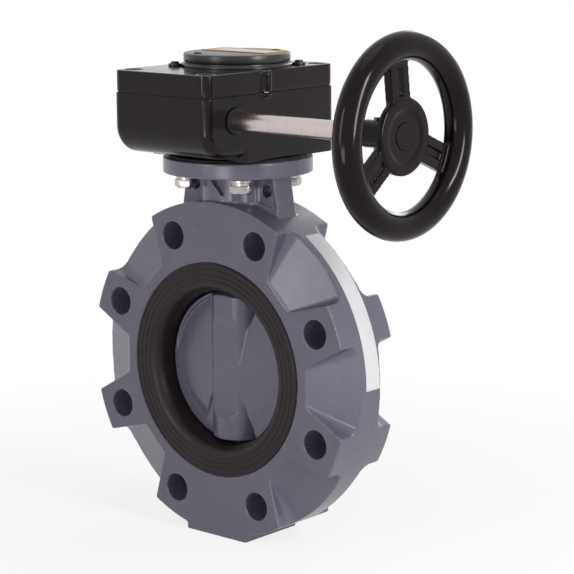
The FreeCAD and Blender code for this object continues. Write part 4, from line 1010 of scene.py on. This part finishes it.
@dataclass
class GearBox:
    """Enamelled gear housing with its cover. Sizes in mm."""

    half: float = 41.8
    front: float = 74.6
    back: float = 51.2
    bottom: float = 144.2
    rim: float = 188.3
    lid_bottom: float = 188.9
    lid_top: float = 202.6
    step: float = 0.4
    corner: float = 6.0
    worm: tuple[float, float] = (-48.0, 172.4)
    belly: tuple[float, float] = (18.5, 148.2)
    barrel_back: float = 38.0
    rib: tuple[float, float] = (18.3, 4.1)

    def room(self, top: float) -> list[bpy.types.Object]:
        """Space for gear and worm."""
        return [rod("gear_room", 36.3, (0, 0, 158), top - 158),
                rod("worm_room", 19.5, (-30, self.worm[0], self.worm[1]), 60, Axis.X)]

    def nose(self) -> bpy.types.Object:
        """Bellied front of the housing, round at both ends."""
        radius, low = self.belly
        inside = 1 - self.barrel_back
        arc = [around(radius, 180 + 6 * step) for step in range(16)]
        profile = [(inside, self.rim), (-self.front, self.rim)]
        profile += [(radius - self.front + a, low + radius + b) for a, b in arc]
        profile.append((inside, low))
        piece = pushed("nose", [(-self.half, y, z) for y, z in profile], (self.half * 2, 0, 0))
        end = mm(self.half) - 1e-6

        def outer(a: Vector, b: Vector) -> bool:
            """True for the front, curved and lower edges of both end faces."""
            on_end = abs(a.x) > end and abs(b.x) > end and a.x * b.x > 0
            return (on_end and min(a.y, b.y) < mm(inside) - 1e-6
                    and min(a.z, b.z) < mm(self.rim) - 1e-6)

        return edges_rounded(piece, self.corner, 8, outer)

    def housing(self) -> bpy.types.Object:
        """Square box with a bellied front round the worm."""
        y, z = self.worm
        box = slab("box", (-self.half, -self.barrel_back, self.bottom),
                   (self.half, self.back, self.rim))
        edges_rounded(box, self.corner, 10, lambda a, b: upright(a, b) and a.y > 0)
        work(box, Join.ADD, self.nose())
        for side in (-1, 1):
            at = (side * (self.half - self.step), -self.rib[0])
            work(box, Join.ADD, rod("rib", self.rib[1], (*at, self.rim - 1), 1, steps=48),
                 rod("tip", self.rib[1] - 1.2, (*at, self.rim - 2.9), 2, steps=48,
                     tip=self.rib[1]))
        cuts = self.room(self.rim + 1)
        cuts.append(rod("bush_seat", 18.0, (0, 0, self.bottom + 2), 13))
        cuts.append(rod("stem_way", 16.0, (0, 0, self.bottom - 1), 10))
        cuts.append(rod("shaft_way", 8.0, (-self.half - 1, y, z), self.half * 2 + 2, Axis.X))
        cuts.append(rod("seal_seat", 8.5, (self.half - 3, y, z), 5, Axis.X))
        for x in (-24, 24):
            cuts.append(rod("stop_way", 3.05, (x, 15, z), 40, Axis.Y, 32))
        for x, along in LID_SCREWS:
            cuts.append(rod("thread", 3.05, (x, along, self.rim - 15), 16, steps=32))
        work(box, Join.CUT, *cuts)
        box.name = "gear_case"
        cast(box, 0.65, 2)
        return shade(box, 40)

    def lid(self) -> bpy.types.Object:
        """Flat cover with sunk screw holes and two upright ribs."""
        step = self.step
        piece = slab("gear_lid", (step - self.half, step - self.front, self.lid_bottom),
                     (self.half - step, self.back - step, self.lid_top))
        edges_rounded(piece, self.corner, 10, upright)
        for side in (-1, 1):
            at = (side * (self.half - step), -self.rib[0], self.lid_bottom)
            work(piece, Join.ADD, rod("rib", self.rib[1], at,
                                      self.lid_top - self.lid_bottom - 1, steps=48))
        cuts = self.room(self.lid_bottom + 5)
        cuts.append(rod("bush_seat", 18.0, (0, 0, self.lid_bottom - 1), 11.3))
        cuts.append(rod("hub_way", 15.4, (0, 0, self.lid_bottom), 20))
        for x, along in LID_SCREWS:
            cuts.append(rod("hole", 3.3, (x, along, self.lid_bottom - 1), 20, steps=32))
            cuts.append(rod("sink", 5.7, (x, along, self.lid_top - 5.6), 8, steps=48))
        work(piece, Join.CUT, *cuts)
        cast(piece, 0.65, 2)
        return shade(piece, 40)

    def build(self) -> None:
        """Model and hand over housing and cover."""
        hand_over(self.housing(), "valve", "black_enamel", ["gear_housing"], BOX_ENAMEL)
        hand_over(self.lid(), "valve", "black_enamel", ["gear_cover"], BOX_ENAMEL)


@dataclass
class Indicator:
    """Position indicator on the cover: base, cap and framed plate. Sizes in mm."""

    base: float = 37.0
    neck: float = 34.2
    cap: float = 35.4
    floor: float = 202.6
    cap_bottom: float = 205.5
    cap_top: float = 211.3
    plate: tuple[float, float, float, float] = (-30.0, 26.0, -2.0, 20.98)
    plate_frame: float = 3.2
    plate_rise: float = 0.5

    def stand(self) -> bpy.types.Object:
        """Stepped ring with two ears."""
        low = self.floor
        profile = [(32.0, low), (self.base, low), (self.base, low + 1.4),
                   (self.base - 0.6, low + 2), (self.neck, low + 2), (self.neck, low + 2.5),
                   (32.0, low + 2.5)]
        piece = turned("dial_stand", profile, steps=128)
        for angle in EAR_ANGLES:
            x, y = around(EAR_CIRCLE, angle)
            work(piece, Join.ADD, rod("ear", 4.4, (x, y, low), 1.6, steps=48))
            work(piece, Join.CUT, rod("ear_hole", 1.8, (x, y, low - 1), 6, steps=32))
        bevelled(piece, 0.3, 2)
        return shade(piece, 30)

    def cover(self) -> bpy.types.Object:
        """Round cap with a recess for the plate and two sunk screws."""
        low, top, ease = self.cap_bottom, self.cap_top, 0.9
        profile = [(0, low), (self.cap - ease, low), (self.cap - 0.26, low + 0.26),
                   (self.cap, low + ease), (self.cap, top - ease), (self.cap - 0.26, top - 0.26),
                   (self.cap - ease, top), (0, top)]
        piece = turned("dial_cap", profile, steps=160)
        x0, x1, y0, y1 = self.plate
        work(piece, Join.CUT, slab("plate_bed", (x0, y0, top - 0.6), (x1, y1, top + 2)))
        for angle in DIAL_ANGLES:
            x, y = around(DIAL_CIRCLE, angle)
            work(piece, Join.CUT, rod("hole", 1.8, (x, y, low - 1), 8, steps=32),
                 rod("sink", 3.2, (x, y, top - 1.4), 3, steps=48))
        bevelled(piece, 0.25, 2)
        return shade(piece, 30)

    def tablet(self) -> bpy.types.Object:
        """Lacquered plate with a raised coloured frame."""
        x0, x1, y0, y1 = self.plate
        gap = 0.05
        piece = slab("dial_plate", (x0 + gap, y0 + gap, self.cap_top - 0.6),
                     (x1 - gap, y1 - gap, self.cap_top + self.plate_rise))
        work(piece, Join.KEEP, rod("limit", 34.2, (0, 0, self.cap_top - 1), 4, steps=160))
        edit(piece, lambda: bpy.ops.mesh.inset(thickness=mm(self.plate_frame)),
             lambda: bpy.ops.mesh.extrude_region_move(
                 TRANSFORM_OT_translate={"value": (0, 0, mm(-0.15))}),
             faces=lambda face: face.normal.z > 0.9 and face.area > 1e-5)
        dress(piece, PLATE_YELLOW, PLATE_WHITE)
        inner = max(piece.data.polygons, key=lambda face: face.area * (face.normal.z > 0.9))
        inner.material_index = 1
        return piece

    def build(self) -> None:
        """Model and hand over the indicator."""
        hand_over(self.stand(), "valve", "black_plastic", ["indicator_base"], BLACK_PLASTIC)
        hand_over(self.cover(), "disc_drive", "black_plastic", ["indicator_cap"], BLACK_PLASTIC)
        plate = self.tablet()
        faces = [face.material_index for face in plate.data.polygons]
        hand_over(plate, "disc_drive", "plate_white", ["indicator_plate"], PLATE_YELLOW,
                  PLATE_WHITE)
        plate.data.polygons.foreach_set("material_index", faces)


@dataclass
class HandWheel:
    """Handwheel on the input shaft. Sizes in mm; x0 is the plane of the rim."""

    x0: float = 177.0
    centre: tuple[float, float] = (-48.0, 172.4)
    ring: float = 53.9
    tube: float = 8.8
    disc: float = 23.7
    boss: float = 8.5
    boss_start: float = 148.0
    spoke_half: float = 8.6
    spoke_angles: tuple[float, ...] = (97.0, 217.0, 337.0)

    def hub(self) -> bpy.types.Object:
        """Boss and hub disc with a shallow dish."""
        front = self.x0 + 1
        profile = [(0, self.boss_start), (self.boss, self.boss_start), (self.boss, front - 8.4),
                   (12.0, front - 6.4), (self.disc, front - 4.4), (self.disc, front - 1.2),
                   (self.disc - 1.2, front), (17.0, front), (15.0, front - 0.8), (0, front - 0.8)]
        return turned("hub", profile, (0, *self.centre), Axis.X, 128)

    def spoke(self, angle: float) -> bpy.types.Object:
        """Flat grooved arm from hub to rim."""
        arm = slab("arm", (self.x0 - 5.6, -self.spoke_half, 18.5), (self.x0, self.spoke_half, 53.9))
        work(arm, Join.CUT, slab("groove", (self.x0 - 1.6, -2.7, 24.5), (self.x0 + 1, 2.7, 41)))
        turn = Matrix.Translation(place((0, *self.centre))) @ Matrix.Rotation(
            math.radians(angle - 90), 4, "X")
        arm.data.transform(turn)
        return arm

    def build(self) -> None:
        """Model and hand over the wheel."""
        bpy.ops.object.select_all(action="DESELECT")
        bpy.ops.mesh.primitive_torus_add(
            major_radius=mm(self.ring), minor_radius=mm(self.tube), major_segments=192,
            minor_segments=48)
        wheel = bpy.context.object
        wheel.rotation_euler = Axis.X.value
        wheel.location = place((self.x0, *self.centre))
        settle(wheel)
        work(wheel, Join.ADD, self.hub())
        for angle in self.spoke_angles:
            work(wheel, Join.ADD, self.spoke(angle))
        y, z = self.centre
        work(wheel, Join.CUT, rod("bore", 6.02, (140, y, z), 30, Axis.X, 64),
             rod("pin_way", 1.75, (156, y, z - 20), 40, steps=32),
             rod("plug_seat", 8.3, (self.x0 - 1.3, y, z), 4, Axis.X, 64))
        wheel.name = "wheel_casting"
        cast(wheel, 0.6, 2)
        shade(wheel, 40)
        hand_over(wheel, "wheel_drive", "wheel_enamel", ["handwheel"], WHEEL_ENAMEL)


CARRIED: dict[str, Finish] = {
    "stem": STAINLESS, "stem_o_rings": SEALS, "stem_clip": SPRING, "upper_stem_bush": BEARING,
    "lower_stem_bush": BEARING, "mounting_gasket": FIBRE, "cover_gasket": FIBRE,
    "dowel_pins": STAINLESS, "quadrant_gear": IRON, "lower_hub_bush": BRONZE,
    "upper_hub_bush": BRONZE, "hub_seal": SEALS, "stop_screws": STAINLESS,
    "stop_nuts": STAINLESS, "worm": WORM_STEEL, "worm_pin": SPRING,
    "input_shaft": STAINLESS_SHAFT, "shaft_bushes": BRONZE, "thrust_washers": BRONZE,
    "shaft_seal": SEALS, "end_plug": BLACK_PLASTIC, "indicator_carrier": BLACK_PLASTIC,
    "hub_plug": WHEEL_ENAMEL, "wheel_pin": SPRING, "rim_label": LABEL,
}


def dress_carried_nodes() -> None:
    """Give every CAD node that stays its finish."""
    for name, finish in CARRIED.items():
        dress(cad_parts[name], finish)
        LOG.info("%s keeps its CAD shape in %s", name, finish.name)


# Studio


@dataclass
class Studio:
    """Floor, soft lights, pale background and the camera at the photograph's angle."""

    eye: Point = (930.93, -1024.89, 318.83)
    azimuth: float = 40.918
    elevation: float = 10.875
    roll: float = -0.33
    lens: float = 130.98
    floor_level: float = -115.3
    ambient: float = 0.24
    lamps: list[tuple[str, Point, tuple[float, float], float]] = field(default_factory=lambda: [
        ("front_strip", (-72, -938, 362), (130, 560), 2.15),
        ("side_strip", (956, -40, 402), (130, 560), 7.4),
        ("low_fill", (256, -705, 10), (260, 160), 0.9),
        ("top", (120, -60, 1045), (500, 500), 0.7),
        ("back", (-220, 925, 480), (400, 400), 1.8),
    ])

    def camera(self) -> None:
        """Create the camera."""
        a, e, r = (math.radians(part) for part in (self.azimuth, self.elevation, self.roll))
        back = Vector((math.sin(a) * math.cos(e), -math.cos(a) * math.cos(e), math.sin(e)))
        right = (-back).cross(Vector((0, 0, 1))).normalized()
        up = right.cross(-back)
        right, up = (right * math.cos(r) + up * math.sin(r),
                     -right * math.sin(r) + up * math.cos(r))
        bpy.ops.object.select_all(action="DESELECT")
        bpy.ops.object.camera_add()
        camera = bpy.context.object
        camera.name = "camera"
        turn = Matrix((right, up, back)).transposed().to_4x4()
        camera.matrix_world = Matrix.Translation(place(self.eye)) @ turn
        camera.data.sensor_width = 36
        camera.data.lens = self.lens
        camera.data.clip_start, camera.data.clip_end = 0.05, 20
        bpy.context.scene.camera = camera

    def lamp(self, name: str, spot: Point, size: tuple[float, float], power: float) -> None:
        """Softbox that faces the valve.

        Args:
            name: lamp name.
            spot: its place in mm.
            size: its width and height in mm.
            power: its power in watts.
        """
        bpy.ops.object.select_all(action="DESELECT")
        bpy.ops.object.light_add(type="AREA", location=place(spot))
        lamp = bpy.context.object
        lamp.name = name
        lamp.data.shape = "RECTANGLE"
        lamp.data.size, lamp.data.size_y = mm(size[0]), mm(size[1])
        lamp.data.energy = power
        aim = Vector(place((20, 0, 60))) - lamp.location
        lamp.rotation_euler = aim.to_track_quat("-Z", "Y").to_euler()

    def seen(self, tree: bpy.types.NodeTree) -> bpy.types.NodeSocket:
        """One for rays from the eye, straight or by way of metal or glass, and nought for light."""
        path = add(tree, "LightPath")
        direct = add(tree, "Math", {"operation": "MAXIMUM"},
                     {0: path.outputs["Is Camera Ray"], 1: path.outputs["Is Transmission Ray"]})
        return add(tree, "Math", {"operation": "MAXIMUM"},
                   {0: direct.outputs[0], 1: path.outputs["Is Glossy Ray"]}).outputs[0]

    def background(self) -> None:
        """White world for the eye and for reflections, a plain level of light for the rest."""
        world = bpy.data.worlds.new("studio")
        bpy.context.scene.world = world
        world.use_nodes = True
        tree = world.node_tree
        tree.nodes.clear()
        soft = add(tree, "Background", {"Color": linear("#FFFFFF"), "Strength": self.ambient})
        white = add(tree, "Background", {"Color": linear("#FFFFFF"), "Strength": 1.0})
        mixed = add(tree, "MixShader", links={0: self.seen(tree), 1: soft.outputs[0],
                                              2: white.outputs[0]})
        add(tree, "OutputWorld", links={"Surface": mixed.outputs[0]})

    def floor(self) -> None:
        """Pale floor: a faint shadow near the valve, plain white further out."""
        bpy.ops.object.select_all(action="DESELECT")
        bpy.ops.mesh.primitive_plane_add(size=16, location=(0, 0, mm(self.floor_level)))
        floor = settle(bpy.context.object)
        floor.name = "floor"
        material, tree, shader, where = new_surface("pale_floor")
        grain = clouds(tree, where, 120.0, 2.0)
        tree.links.new(tinted(tree, grain, "#FBFBFB", "#F6F6F6"), shader.inputs["Base Color"])
        shader.inputs["Roughness"].default_value = 0.9
        # White paper: the eye sees mostly its own white, and the shadow only as a light tone.
        distance = add(tree, "VectorMath", {"operation": "LENGTH"}, {0: where}).outputs["Value"]
        share = spread(tree, distance, 0.8, 1.0, 0.16, 0.5)
        eye = add(tree, "Math", {"operation": "MULTIPLY"}, {0: share, 1: self.seen(tree)})
        paper = add(tree, "Emission", {"Color": linear("#FFFFFF"), "Strength": 1.0})
        out = next(node for node in tree.nodes if node.type == "OUTPUT_MATERIAL")
        mixed = add(tree, "MixShader", links={0: eye.outputs[0], 1: shader.outputs[0],
                                              2: paper.outputs[0]})
        tree.links.new(mixed.outputs[0], out.inputs["Surface"])
        floor.data.materials.append(material)

    def build(self) -> None:
        """Set up the studio."""
        self.camera()
        for name, spot, size, power in self.lamps:
            self.lamp(name, spot, size, power)
        self.background()
        self.floor()
        bpy.context.scene.view_settings.view_transform = "Standard"


def main() -> None:
    """Build the pieces in order."""
    logging.basicConfig(level=logging.INFO, format="%(name)s %(message)s")
    Studio().build()
    dress_carried_nodes()
    for part in (ValveBody(), Passage(), Fasteners(), GearBox(), Indicator(), HandWheel()):
        part.build()
        LOG.info("%s done", type(part).__name__)


if __name__ == "__main__":
    main()
